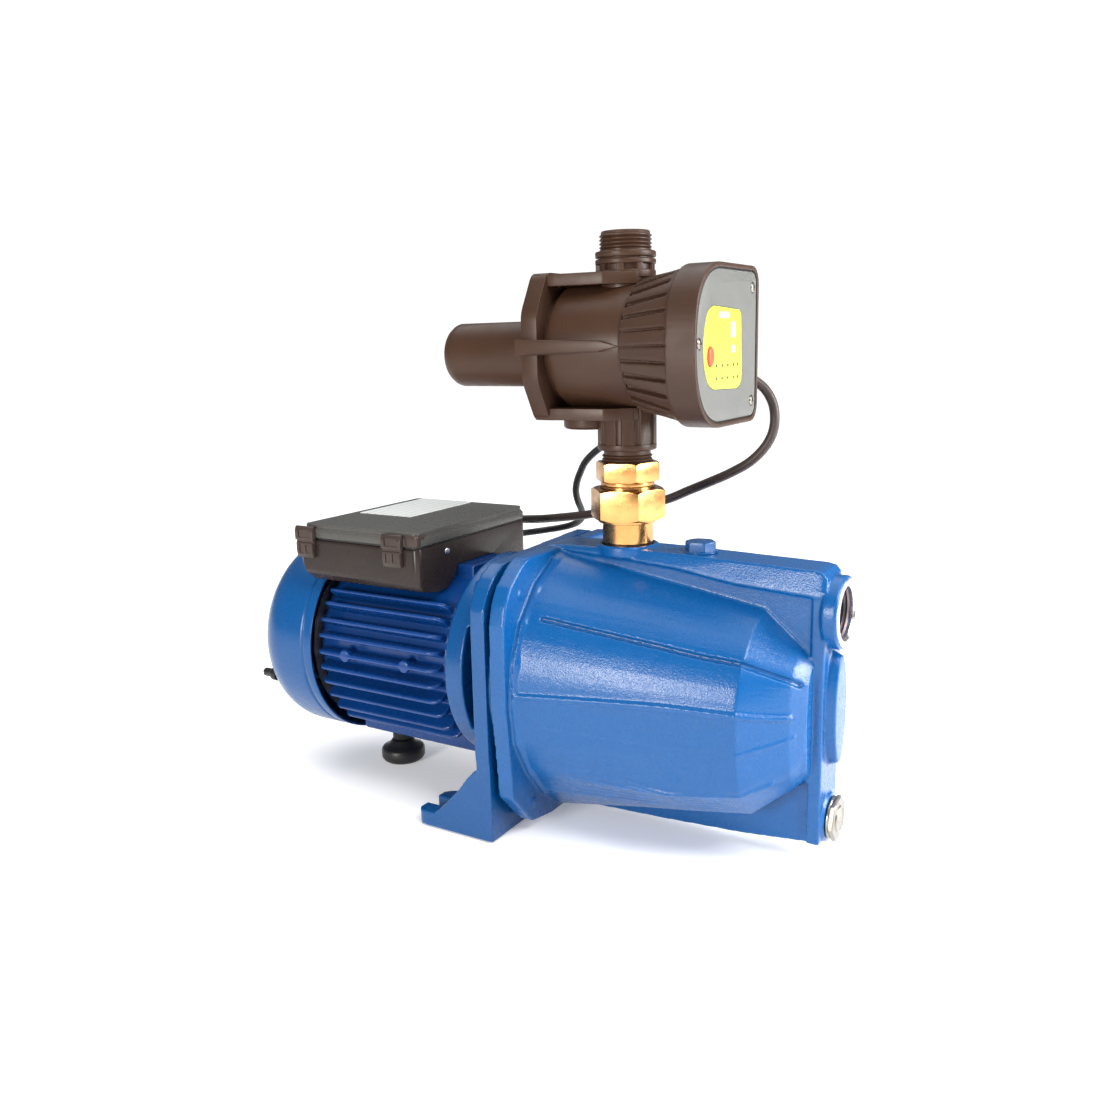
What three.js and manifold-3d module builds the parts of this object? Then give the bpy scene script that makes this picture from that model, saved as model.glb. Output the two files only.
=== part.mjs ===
// Shallow well jet pump with a pressure controller on its outlet.
// Millimetres. +Z is up, +X runs along the shaft from the motor to the suction port.
// The origin is on the underside of the mounting foot, below the shaft axis.
import * as THREE from "three";
import { mergeVertices } from "three/addons/utils/BufferGeometryUtils.js";
import Module from "manifold-3d";

const wasm = await Module();
wasm.setup();

// ---------------------------------------------------------------- driving dimensions
const GAP = 0.3; // clearance between separate pieces that touch
const AXIS_Z = 103.5; // shaft height above the floor
const OUTLET_X = 89.5; // vertical axis of outlet, union and controller

const PLATE = { rear: 21, front: 31.5 }; // motor bracket plate
const FOOT = { rear: -31.2, front: 31.5, halfWidth: 85, thick: 10.6, slotY: 66.7, slotWidth: 11 };
const COLLAR = { rear: -12, outer: 72, inner: 61 }; // bracket ring round the motor
const SPIGOT = { radius: 68, front: 41 }; // bracket register inside the casing

const FLANGE = { rear: 36, front: 47 }; // pump casing flange
const CASING_WALL = 6;
const CONE = { rear: 47, front: 190, rearRadius: 81.5, frontRadius: 63 };
const NOSE = { front: 214, radius: 40 };
const RIDGE = { halfWidth: 18, topRear: 187.5, topFront: 186, front: 227 };
const SPINE = { halfWidth: 9, frontHalfWidth: 17.5, bottomRear: 2, bottomFront: 13 };
const SUCTION = { z: 160.7, bossRadius: 21, bore: 15.2, front: 235.3 };
const OUTLET = { bossRadius: 21, bore: 16.9, top: 189.5 };
const PRIMING = { x: 141, bossRadius: 15, bore: 9.5, top: 189 };
const DRAIN = { z: 29, bore: 6.5, bossRadius: 15.5, face: 229 };
const CASING_BOLTS = [
  [-66.5, 166], [66.5, 166], [-60, 26], [60, 26],
];

const MOTOR = { rear: -128, front: -21, finTip: 72, barrel: 60.5, bore: 56.3, spigotFront: -7.7 };
const FIN = { thick: 2.6, tipThick: 1.8, degrees: [-50, -39, -27.5, -17.5, -8, 1.5, 11.5, 21, 31, 39.5] };
const COVER = { rim: -131, rear: -193, radius: 75.5, round: 31, wall: 1.6 };
const SHAFT_RADIUS = 8.5;
const REAR_JOURNAL = 7.2; // shaft radius in the rear bearing

const BOX = { bulge: -143.5, rear: -138, front: -34, halfWidth: 66.5, seam: 187.5, top: 198.6, skirt: 156.5,
  wall: 2.6, roomRear: -127 };

const UNION = { tailTop: 208, nutTop: 228, swivelTop: 245.2, threadRadius: 16.5, bore: 12.5 };
const CONTROL_Z = 318.5; // axis of the controller drum
const DRUM = { front: 105, radius: 39.2 };
const TAIL = { rear: -43, front: 44, z: 314.5, radius: 22, frontRadius: 23.5 };
const CLAMP = { rear: 38.5, front: 50, half: 46 };
const NECK = { bottom: 252.8, radius: 19.1, thread: 16.4, threadBottom: 236, bore: 12.5 };
const INLET_TOP = { ring: 371.7, ringTop: 376.3, thread: 388.5 };
const BEZEL = { rear: 105.3, flareEnd: 141, front: 158.5, half: 50.5, high: 48.3 };

const CORD_A = { radius: 3.5 }; // motor lead, from the controller to the terminal box
const CORD_B = { radius: 2.8 }; // second lead between the same two housings

// ---------------------------------------------------------------- materials
const finish = (color, roughness, metalness = 0) => () =>
  new THREE.MeshStandardMaterial({ color, roughness, metalness });
const BLUE_CAST = finish(0x2f6fb4, 0.35);
const NAVY = finish(0x1f4f96, 0.4);
const STEEL = finish(0xb9bcc0, 0.35, 1);
const CAST_METAL = finish(0x8b8d90, 0.5, 1);
const BRASS = finish(0xd9a050, 0.3, 1);
const COPPER = finish(0xb5652e, 0.4, 1);
const RUBBER = finish(0x17181a, 0.85);
const BLACK_PLASTIC = finish(0x2b2320, 0.45);
const BROWN_PLASTIC = finish(0x453730, 0.45);
const SMOKE_PLASTIC = finish(0x4a403a, 0.3);
const CERAMIC = finish(0xe8e4da, 0.3);
const WHITE_PLASTIC = finish(0xdcdcd6, 0.5);
const GREY_PLASTIC = finish(0x969a9b, 0.5);
const YELLOW_LABEL = finish(0xe6ea44, 0.5);
const RED_RUBBER = finish(0xd9452f, 0.55);
const GREEN_BOARD = finish(0x1f6b3c, 0.5);

// ---------------------------------------------------------------- solids
// A closed three.js geometry as a manifold solid, turned the right way out.
function solid(geometry) {
  const bare = new THREE.BufferGeometry();
  bare.setAttribute("position", geometry.getAttribute("position").clone());
  if (geometry.index) bare.setIndex(geometry.index.clone());
  const merged = mergeVertices(bare, 1e-4);
  const triangles = [];
  for (let i = 0; i < merged.index.count; i += 3) {
    const [a, b, c] = [0, 1, 2].map((k) => merged.index.getX(i + k));
    if (a !== b && b !== c && c !== a) triangles.push(a, b, c);
  }
  const build = (list) =>
    new wasm.Manifold(
      new wasm.Mesh({
        numProp: 3,
        vertProperties: new Float32Array(merged.attributes.position.array),
        triVerts: new Uint32Array(list),
      }),
    );
  const made = build(triangles);
  return made.volume() < 0 ? build(triangles.slice().reverse()) : made;
}

const union = (...parts) => parts.reduce((all, part) => all.add(part));
const cut = (body, ...tools) => tools.reduce((left, tool) => left.subtract(tool), body);

// A box between two corners.
function block([x0, y0, z0], [x1, y1, z1]) {
  const box = new THREE.BoxGeometry(x1 - x0, y1 - y0, z1 - z0);
  return solid(box.translate((x0 + x1) / 2, (y0 + y1) / 2, (z0 + z1) / 2));
}

// A profile of [along, radius] points turned about a line parallel to X, Y or Z through at.
function turned(axis, at, profile, sides = 32) {
  const points = profile.map(([along, radius]) => new THREE.Vector2(radius, along));
  const shape = new THREE.LatheGeometry(points, sides);
  if (axis === "x") shape.rotateZ(-Math.PI / 2);
  if (axis === "z") shape.rotateX(Math.PI / 2);
  return solid(shape.translate(...at));
}

// A round bar between two positions along its axis.
function rod(axis, at, from, to, radius, sides = 20) {
  return turned(axis, at, [[from, 0], [from, radius], [to, radius], [to, 0]], sides);
}

// A ring with a round hole.
function tube(axis, at, from, to, outer, inner, sides = 24) {
  const profile = [[from, inner], [from, outer], [to, outer], [to, inner], [from, inner]];
  return turned(axis, at, profile, sides);
}

const shapeOf = (points) => new THREE.Shape(points.map(([u, v]) => new THREE.Vector2(u, v)));

// An outline of [y, z] points extruded along X.
function alongX(points, from, to) {
  const made = new THREE.ExtrudeGeometry(shapeOf(points), { depth: to - from, bevelEnabled: false });
  return solid(made.rotateX(Math.PI / 2).rotateZ(Math.PI / 2).translate(from, 0, 0));
}

// An outline of [x, z] points extruded along Y.
function alongY(points, from, to) {
  const made = new THREE.ExtrudeGeometry(shapeOf(points), { depth: to - from, bevelEnabled: false });
  return solid(made.rotateX(Math.PI / 2).translate(0, to, 0));
}

// An outline of [x, y] points extruded along Z.
function alongZ(points, from, to) {
  const made = new THREE.ExtrudeGeometry(shapeOf(points), { depth: to - from, bevelEnabled: false });
  return solid(made.translate(0, 0, from));
}

// A regular hexagon of the given corner radius, as [u, v] points.
const hexagon = (radius, u = 0, v = 0, turn = 0) =>
  Array.from({ length: 6 }, (_, i) => {
    const angle = (i * Math.PI) / 3 + turn;
    return [u + radius * Math.cos(angle), v + radius * Math.sin(angle)];
  });

// A skin through matching rings of [x, y, z] points, closed with a flat cap at each end.
function loft(rings) {
  const count = rings[0].length;
  const positions = rings.flat(2);
  const index = [];
  for (let r = 0; r + 1 < rings.length; r++)
    for (let i = 0; i < count; i++) {
      const [a, b] = [r * count + i, r * count + ((i + 1) % count)];
      index.push(a, b, a + count, b, b + count, a + count);
    }
  const cap = (ring, start, flip) => {
    const outline = ring.map(([, y, z]) => new THREE.Vector2(y, z));
    for (const [a, b, c] of THREE.ShapeUtils.triangulateShape(outline, []))
      index.push(start + a, start + (flip ? c : b), start + (flip ? b : c));
  };
  const last = (rings.length - 1) * count;
  const clockwise = THREE.ShapeUtils.isClockWise(rings[0].map(([, y, z]) => new THREE.Vector2(y, z)));
  cap(rings[0], 0, !clockwise);
  cap(rings[rings.length - 1], last, clockwise);
  const geometry = new THREE.BufferGeometry();
  geometry.setAttribute("position", new THREE.Float32BufferAttribute(positions, 3));
  geometry.setIndex(index);
  return solid(geometry);
}

// A tube that follows a smooth curve through points.
function cord(points, radius, steps, sides) {
  const curve = new THREE.CatmullRomCurve3(points.map((p) => new THREE.Vector3(...p)), false, "centripetal");
  const ring = Array.from({ length: sides }, (_, i) => {
    const angle = (2 * Math.PI * i) / sides;
    return [radius * Math.cos(angle), radius * Math.sin(angle)];
  });
  return solid(new THREE.ExtrudeGeometry(shapeOf(ring), { steps, extrudePath: curve, bevelEnabled: false }));
}

const mix = (a, b, t) => a + (b - a) * t;
const rad = THREE.MathUtils.degToRad;

const part = new THREE.Group();

// Adds a solid to the part as one named mesh.
function add(name, made, material) {
  const mesh = made.getMesh();
  const geometry = new THREE.BufferGeometry();
  const positions = new Float32Array(mesh.numVert * 3);
  for (let i = 0; i < mesh.numVert; i++)
    positions.set(mesh.vertProperties.subarray(i * mesh.numProp, i * mesh.numProp + 3), i * 3);
  geometry.setAttribute("position", new THREE.BufferAttribute(positions, 3));
  geometry.setIndex(new THREE.BufferAttribute(new Uint32Array(mesh.triVerts), 1));
  const node = new THREE.Mesh(geometry, material());
  node.name = name;
  part.add(node);
}

const ON_AXIS = [0, 0, AXIS_Z];
const AT_OUTLET = [OUTLET_X, 0, 0];

// ---------------------------------------------------------------- pump casing
// Half outline of the casing flange, as [y, z] points from the top to the bottom.
const FLANGE_SIDE = [
  [58, 187.5], [77.5, 173], [83.5, 162], [86.5, 150], [87.5, 95], [84.5, 66], [82, 33], [59, 8.5], [34, 4.5],
];

const mirrored = (side) => [...side, ...side.map(([y, z]) => [-y, z]).reverse()];

// One ring of the casing body: round above, a steep side and a chamfered bottom below.
function casingRing(x, radius, belly, inset = 0) {
  const r = radius - inset;
  const upper = [90, 75, 60, 45, 30, 15, 2].map((deg) => [
    r * Math.cos(rad(deg)), AXIS_Z + r * Math.sin(rad(deg)),
  ]);
  const lower = [
    [r, AXIS_Z - 0.3 * r],
    [0.95 * r, AXIS_Z - 0.52 * belly + 0.3 * inset],
    [0.8 * r, AXIS_Z - 0.75 * belly + 0.5 * inset],
    [0.52 * r, AXIS_Z - 0.97 * belly + inset],
    [0.26 * r, AXIS_Z - 1.04 * belly + inset],
  ];
  const side = [...upper.slice(1), ...lower];
  return [[0, AXIS_Z + r], ...mirrored(side)].map(([y, z]) => [x, y, z]);
}

// Body rings from the flange to the nose: the round top shrinks faster than the belly does.
function casingRings(inset) {
  const at = (x) => {
    const t = (x - CONE.rear) / (CONE.front - CONE.rear);
    return casingRing(x, mix(CONE.rearRadius, CONE.frontRadius, t), mix(92, 68, t), inset);
  };
  return [FLANGE.rear + 6, CONE.front].map(at);
}

function casingOuter() {
  const nose = casingRing(NOSE.front, NOSE.radius, 40);
  const tip = casingRing(NOSE.front + 6, NOSE.radius - 13, 31);
  const body = loft([...casingRings(0), nose, tip]);
  const flange = alongX(mirrored(FLANGE_SIDE), FLANGE.rear, FLANGE.front);
  const ridge = alongY(
    [
      [FLANGE.rear, 140], [RIDGE.front, 140], [RIDGE.front, RIDGE.topFront - 7],
      [RIDGE.front - 3, RIDGE.topFront - 2], [RIDGE.front - 9, RIDGE.topFront], [FLANGE.rear, RIDGE.topRear],
    ],
    -RIDGE.halfWidth,
    RIDGE.halfWidth,
  );
  // The ridge is a hollow beam: its sides end above the body and only a narrow web goes on down.
  const under = (sign) =>
    alongY(
      [[FLANGE.front, 100], [RIDGE.front + 1, 100], [RIDGE.front + 1, 171.5], [120, 178], [FLANGE.front, 184]],
      sign > 0 ? SPINE.halfWidth + 1 : -RIDGE.halfWidth - 1,
      sign > 0 ? RIDGE.halfWidth + 1 : -SPINE.halfWidth - 1,
    );
  const beam = cut(ridge, under(1), under(-1));
  const spine = alongY(
    [[FLANGE.front - 2, SPINE.bottomRear], [225, SPINE.bottomFront], [225, 176], [FLANGE.front - 2, 176]],
    -SPINE.halfWidth,
    SPINE.halfWidth,
  );
  const face = block([219, -SPINE.frontHalfWidth, SPINE.bottomFront], [RIDGE.front, SPINE.frontHalfWidth, 174]);
  const pad = alongX(ellipse(0, 100, 13.5, 33), RIDGE.front - 1, RIDGE.front + 6.5);
  const suction = rod("x", [0, 0, SUCTION.z], 205, SUCTION.front, SUCTION.bossRadius, 28);
  const outlet = turned("z", AT_OUTLET, [[170, 0], [170, 25], [186, 25], [OUTLET.top, OUTLET.bossRadius],
    [OUTLET.top, 0]], 24);
  const priming = rod("z", [PRIMING.x, 0, 0], 170, PRIMING.top, PRIMING.bossRadius, 20);
  const drain = rod("x", [0, 0, DRAIN.z], 215, DRAIN.face, DRAIN.bossRadius, 20);
  return union(flange, body, beam, spine, face, pad, suction, outlet, priming, drain);
}

function ellipse(u, v, a, b, count = 18) {
  return Array.from({ length: count }, (_, i) => {
    const angle = (2 * Math.PI * i) / count;
    return [u + a * Math.cos(angle), v + b * Math.sin(angle)];
  });
}

// The water space: open at the flange, with a separate suction passage down to the nozzle seat.
function casingCavity() {
  const rings = casingRings(CASING_WALL);
  const room = loft([...rings, casingRing(206, 34, 32)]);
  const mouth = rod("x", ON_AXIS, FLANGE.rear - 1, FLANGE.rear + 8, SPIGOT.radius + GAP, 32);
  const passageWall = block([172, -19, AXIS_Z - 19], [215, 19, 170]);
  return union(cut(room, passageWall), mouth);
}

function pumpCasing() {
  const suction = rod("x", [0, 0, SUCTION.z], 176, SUCTION.front + 1, SUCTION.bore, 24);
  const drop = rod("z", [190, 0, 0], AXIS_Z - 5, SUCTION.z, 12.5);
  const seat = rod("x", ON_AXIS, 160, 196, 11.7);
  const outlet = rod("z", AT_OUTLET, 150, OUTLET.top + 1, OUTLET.bore, 28);
  const priming = rod("z", [PRIMING.x, 0, 0], 150, PRIMING.top + 1, PRIMING.bore, 20);
  const drain = rod("x", [0, 0, DRAIN.z], 120, DRAIN.face + 1, DRAIN.bore, 16);
  const bolts = CASING_BOLTS.map(([y, z]) => rod("x", [0, y, z], FLANGE.rear - 1, FLANGE.rear + 9.5, 4.4, 8));
  return cut(casingOuter(), casingCavity(), suction, drop, seat, outlet, priming, drain, ...bolts);
}

// ---------------------------------------------------------------- motor bracket
const PLATE_SIDE = [[56, 187], [75, 176.5], [82, 165], [86, 150], [86, 60], [85, 36], [85, 0]];

function footPlate() {
  const { rear, front, halfWidth } = FOOT;
  const side = [
    [front, halfWidth], [rear + 3, halfWidth], [rear, halfWidth - 4], [rear, 52], [rear + 6, 47],
    [-12, 44], [-12, 0],
  ];
  const outline = [...side, ...side.slice(0, -1).map(([x, y]) => [x, -y]).reverse()];
  const plate = alongZ(outline, 0, FOOT.thick);
  const slot = (sign) => {
    const y = sign * FOOT.slotY;
    return union(
      block([rear - 1, y - FOOT.slotWidth / 2, -1], [-17.5, y + FOOT.slotWidth / 2, FOOT.thick + 1]),
      rod("z", [-17.5, y, 0], -1, FOOT.thick + 1, FOOT.slotWidth / 2, 16),
    );
  };
  return cut(plate, slot(1), slot(-1));
}

// Side webs that tie the foot to the plate.
function gusset(y) {
  const outline = [[PLATE.rear + 1, 2], [-17, 2], [-17, FOOT.thick], [-6, 21], [6, 33], [12, 41], [22, 49.5]];
  return alongY(outline, y, y + 6.5);
}

function motorBracket() {
  const outline = mirrored(PLATE_SIDE);
  const plate = alongX(outline, PLATE.rear, PLATE.front);
  const land = rod("x", ON_AXIS, PLATE.front - 1, FLANGE.rear - GAP, 90, 40).intersect(
    alongX(outline.map(([y, z]) => [y, Math.max(z, 24)]), PLATE.rear, FLANGE.rear),
  );
  const spigot = rod("x", ON_AXIS, PLATE.rear, SPIGOT.front, SPIGOT.radius - 6, 32);
  const collar = rod("x", ON_AXIS, COLLAR.rear, PLATE.rear + 1, COLLAR.outer, 32);
  const flare = turned("x", ON_AXIS, [[8, 0], [8, COLLAR.outer - 1], [PLATE.rear + 1, 81], [PLATE.rear + 1, 0]], 32);
  const webs = [-FOOT.halfWidth, -46, 39.5, FOOT.halfWidth - 6.5].map(gusset);
  const body = union(plate, land, spigot, collar, flare, footPlate(), ...webs);
  const register = rod("x", ON_AXIS, COLLAR.rear - 1, MOTOR.spigotFront + GAP, COLLAR.inner, 32);
  const room = tube("x", ON_AXIS, 3, PLATE.rear, 61, 26, 24);
  const window = block([3, -95, 70], [PLATE.rear - 0.5, 95, 137]);
  const hub = rod("x", ON_AXIS, 3, PLATE.rear, 26, 24);
  const wet = rod("x", ON_AXIS, 30, SPIGOT.front + 1, 55, 28);
  const bearing = rod("x", ON_AXIS, -20, 4.3, 20.6, 24);
  const shaftHole = rod("x", ON_AXIS, 0, 40, 10, 24);
  const sealSeat = rod("x", ON_AXIS, 24, 40, 16.6, 20);
  const bolts = CASING_BOLTS.map(([y, z]) => rod("x", [0, y, z], 8, FLANGE.rear, 4.6, 8));
  const heads = CASING_BOLTS.map(([y, z]) => rod("x", [0, y, z], 8, PLATE.rear, 9.5, 12));
  return cut(body, register, room, cut(window, hub), wet, bearing, shaftHole, sealSeat, ...bolts, ...heads);
}

function casingBolt(y, z) {
  const head = alongX(hexagon(7.2, y, z), PLATE.rear - 5.6, PLATE.rear - GAP);
  return union(head, rod("x", [0, y, z], PLATE.rear - 1, FLANGE.rear + 8.5, 4, 8));
}

// ---------------------------------------------------------------- hydraulics inside the casing
function impeller() {
  const disc = turned("x", ON_AXIS, [
    [56, 7.3], [56, 12], [59, 12], [59, 54], [61, 54], [61, 24], [66, 14], [71, 12], [71, 7.3], [56, 7.3],
  ], 24);
  const shroud = turned("x", ON_AXIS, [
    [66, 54], [68, 54], [68, 24], [74.5, 22], [74.5, 18], [68, 18], [66, 24], [66, 54],
  ], 24);
  const vane = (turn) => {
    const outline = [];
    for (let i = 0; i <= 2; i++) outline.push(spiral(i / 2, turn, 0));
    for (let i = 2; i >= 0; i--) outline.push(spiral(i / 2, turn, 0.12));
    return alongX(outline, 60.5, 66.5);
  };
  const vanes = [0, 1, 2, 3, 4].map((i) => vane((2 * i * Math.PI) / 5));
  return union(disc, shroud, ...vanes);
}

// A point on a backswept vane, t from the eye to the rim.
function spiral(t, turn, offset) {
  const radius = mix(22, 53.5, t);
  const angle = turn - 1.1 * t + offset * mix(1, 0.4, t);
  return [radius * Math.cos(angle), AXIS_Z + radius * Math.sin(angle)];
}

function diffuser() {
  const plate = turned("x", ON_AXIS, [
    [76, 24.5], [76, 64], [95, 60], [95, 57], [80, 60], [80, 24.5], [76, 24.5],
  ], 24);
  const cup = tube("x", ON_AXIS, 79, 100, 19, 13.5, 24);
  const spokes = [0, 1, 2, 3].map((i) => {
    const angle = ((i + 0.5) * Math.PI) / 2;
    const arm = new THREE.BoxGeometry(14, 42.5, 3).translate(86.5, 38.2, 0).rotateX(angle);
    return solid(arm.translate(0, 0, AXIS_Z));
  });
  const web = tube("x", ON_AXIS, 76, 80, 26, 18, 24);
  return union(plate, cup, web, ...spokes);
}

function venturiTube() {
  return turned("x", ON_AXIS, [
    [100.3, 9], [100.3, 15], [104, 15], [104, 12.5], [156, 9.5], [158, 11], [166, 11.2], [171.5, 11.2],
    [171.5, 9], [160, 6], [150, 4.6], [140, 4.6], [100.3, 9],
  ], 18);
}

function ejectorNozzle() {
  return turned("x", ON_AXIS, [
    [165.5, 3.2], [165.5, 4.6], [176, 8], [176, 11.2], [184, 11.2], [184, 8.5], [178, 7], [165.5, 3.2],
  ], 16);
}

// ---------------------------------------------------------------- motor
// Outline of the finned barrel as [y, z] points, with a flat pad on top and a rail below.
function housingOutline() {
  const { barrel, finTip } = MOTOR;
  const at = (radius, deg) => [radius * Math.cos(rad(deg)), AXIS_Z + radius * Math.sin(rad(deg))];
  const spread = (width, radius) => THREE.MathUtils.radToDeg(width / 2 / radius);
  const side = [[21.5, 169.6], [21.5, AXIS_Z + 56.8]];
  for (const deg of [60, 50]) side.push(at(barrel, deg));
  for (const deg of [...FIN.degrees].reverse()) {
    const [root, tip] = [spread(FIN.thick, barrel), spread(FIN.tipThick, finTip)];
    side.push(at(barrel, deg + root), at(finTip, deg + tip), at(finTip, deg - tip), at(barrel, deg - root));
  }
  side.push([26, AXIS_Z - 54.6], [27, 40.5], [25.5, 31.5]);
  return mirrored(side);
}

function motorHousing() {
  const fins = alongX(housingOutline(), MOTOR.rear, MOTOR.front);
  const barrel = rod("x", ON_AXIS, MOTOR.rear - 6, MOTOR.spigotFront, MOTOR.barrel, 32);
  const bosses = [-102, -48].flatMap((x) => [-1, 1].map((s) => {
    const boss = rod("y", [x, 0, AXIS_Z + 2], 58, 71.5, 4.2, 8);
    return s > 0 ? boss : boss.mirror([0, 1, 0]);
  }));
  const bore = rod("x", ON_AXIS, MOTOR.rear - 7, MOTOR.spigotFront + 1, MOTOR.bore, 32);
  const footThread = rod("z", [-112.5, 0, 0], 30, 41, 3.4, 12);
  return cut(union(fins, barrel, ...bosses), bore, footThread);
}

function statorCore() {
  const ring = tube("x", ON_AXIS, -100, -40, MOTOR.bore - GAP, 33, 32);
  const slots = [0, 1, 2, 3, 4, 5, 6, 7].map((i) => {
    const slot = rod("x", [0, 0, 0], -101, -39, 4.3, 8);
    return placedRound(slot, i, 8, 42);
  });
  return cut(ring, ...slots);
}

// Moves a solid out from the shaft axis to station i of count.
function placedRound(made, i, count, radius) {
  const angle = (2 * Math.PI * i) / count;
  return made.translate([0, radius * Math.cos(angle), AXIS_Z + radius * Math.sin(angle)]);
}

// Both winding heads, joined by the bundles that run through the core's slots.
function statorWinding() {
  const head = (from, to) => turned("x", ON_AXIS, [
    [from, 38], [from + 2, 35], [to - 2, 35], [to, 38], [to, 46], [to - 3, 50], [from + 3, 50], [from, 46],
    [from, 38],
  ], 18);
  const bundles = [0, 1, 2, 3, 4, 5, 6, 7].map((i) =>
    placedRound(rod("x", [0, 0, 0], -104, -36, 3.9, 6), i, 8, 42));
  return union(head(-117, -100.4), head(-39.6, -23), ...bundles);
}

function rotorCore() {
  return turned("x", ON_AXIS, [
    [-106, 12], [-106, 30], [-101, 32.4], [-39, 32.4], [-34, 30], [-34, 12], [-40, SHAFT_RADIUS + GAP],
    [-100, SHAFT_RADIUS + GAP], [-106, 12],
  ], 24);
}

function motorShaft() {
  return turned("x", ON_AXIS, [
    [-178, 0], [-178, 5.5], [-132, 5.5], [-132, REAR_JOURNAL], [-118, REAR_JOURNAL], [-118, SHAFT_RADIUS], [56, SHAFT_RADIUS],
    [56, 7], [71.3, 7], [71.3, 5], [80, 5], [80, 0],
  ], 16);
}

// A sealed ball bearing as one ring with grooved shields.
function bearing(from, to, outer, inner) {
  const [low, high] = [mix(inner, outer, 0.28), mix(inner, outer, 0.72)];
  return turned("x", ON_AXIS, [
    [from, inner], [from, low], [from + 0.8, low], [from + 0.8, high], [from, high], [from, outer],
    [to, outer], [to, high], [to - 0.8, high], [to - 0.8, low], [to, low], [to, inner], [from, inner],
  ], 16);
}

function rearEndShield() {
  return turned("x", ON_AXIS, [
    [-143, 8.5], [-143, 22], [-137, 25], [-137, 66], [-134.6, 67.5], [-134.4, 67.5], [-134.4, 56],
    [-131.5, 56], [-131.5, 21], [-129, 21], [-129, 17.8], [-140.5, 17.8], [-140.5, 8.5], [-143, 8.5],
  ], 20);
}

function coolingFan() {
  const hub = turned("x", ON_AXIS, [
    [-172, 5.7], [-172, 13], [-152, 13], [-152, 55], [-149, 55], [-149, 5.7], [-172, 5.7],
  ], 24);
  const blades = [0, 1, 2, 3, 4, 5, 6].map((i) => {
    const blade = new THREE.BoxGeometry(18, 43, 2).translate(-160, 33.5, 0).rotateX((i * 2 * Math.PI) / 7);
    return solid(blade.translate(0, 0, AXIS_Z));
  });
  return union(hub, ...blades);
}

// The pressed cover: a cup with a large round edge, a rolled bead near the rim and a slotted back.
function fanCover() {
  const { rim, rear, radius, round, wall } = COVER;
  const arc = (r, steps, from, to) =>
    Array.from({ length: steps + 1 }, (_, i) => {
      const angle = mix(from, to, i / steps);
      return [rear + round - r * Math.cos(angle), radius - round + r * Math.sin(angle)];
    });
  const shell = turned("x", ON_AXIS, [
    [rear, 0], ...arc(round, 5, 0, Math.PI / 2), [rim, radius], [rim, radius - wall],
    ...arc(round - wall, 3, Math.PI / 2, 0), [rear + wall, 0],
  ], 32);
  const slots = [];
  for (let row = -2; row <= 2; row++) {
    const z = AXIS_Z + row * 13;
    const half = Math.sqrt(40 ** 2 - (row * 13) ** 2);
    for (const s of [-1, 1]) slots.push(grilleSlot(z, s * 3, s * half));
  }
  const screws = COVER_SCREWS.map(([y, z]) => rod("x", [0, y, z], rear - 2, -134, 2.6, 6));
  const recesses = COVER_SCREWS.map(([y, z]) => rod("x", [0, y, z], rear - 2, COVER_SEAT, 8.2, 10));
  const cups = COVER_SCREWS.map(([y, z]) => rod("x", [0, y, z], COVER_SEAT - 1, COVER_SEAT + wall, 9.6, 10)
    .intersect(rod("x", ON_AXIS, rear, rim, radius - 0.6, 32)));
  return cut(union(cut(shell, ...recesses), ...cups), ...recesses, ...screws, ...slots);
}

const COVER_SEAT = -184; // where the cover's screws pull it down, in recesses of its round edge
const COVER_PEG = -199; // rear end of the long screw heads
const COVER_SCREWS = [[-57, 75.5], [57, 75.5]];

function grilleSlot(z, y0, y1) {
  const { rear } = COVER;
  return block([rear - 1, Math.min(y0, y1), z - 2], [rear + COVER.wall + 1, Math.max(y0, y1), z + 2]);
}

function coverScrew(y, z) {
  return union(
    turned("x", [0, y, z], [
      [COVER_PEG, 0], [COVER_PEG, 3.2], [-190, 3.4], [-189, 5.2], [COVER_SEAT - GAP, 5.2],
      [COVER_SEAT - GAP, 0],
    ], 14),
    rod("x", [0, y, z], COVER_SEAT - 2, -137.4, 2.2, 10),
  );
}

// ---------------------------------------------------------------- support foot below the motor
function supportFootPad() {
  return turned("z", [-112.5, 0, 0], [
    [0, 0], [0, 14.5], [3, 17], [10, 17], [13, 13], [16.5, 8.5], [16.5, 3.7], [9, 3.7], [9, 0],
  ], 28);
}

function supportFootBolt() {
  return turned("z", [-112.5, 0, 0], [[9.3, 0], [9.3, 3.3], [16.9, 3.3], [16.9, 7.5], [31, 7.5], [31, 3],
    [40, 3], [40, 0]], 16);
}

// ---------------------------------------------------------------- terminal box
const rounded = (x0, y0, x1, y1, r, steps = 3) => {
  const corners = [[x1 - r, y1 - r, 0], [x0 + r, y1 - r, 90], [x0 + r, y0 + r, 180], [x1 - r, y0 + r, 270]];
  return corners.flatMap(([x, y, start]) =>
    Array.from({ length: steps + 1 }, (_, i) => {
      const angle = rad(start + (90 * i) / steps);
      return [x + r * Math.cos(angle), y + r * Math.sin(angle)];
    }));
};

// Outline of the box base across the motor, as [y, z] points: skirts hang down beside the top pad.
function baseOutline(inset) {
  const { halfWidth, seam, skirt } = BOX;
  const side = [
    [halfWidth - inset, seam + (inset ? 1 : 0)], [halfWidth - inset, skirt + 6 + inset],
    [halfWidth - 6, skirt + inset], [44, skirt - 2 + inset], [33, skirt + 1.5 + inset],
    [26, skirt + 7 + inset * 1.2], [22, 170 + inset],
  ];
  return mirrored(side);
}

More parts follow.
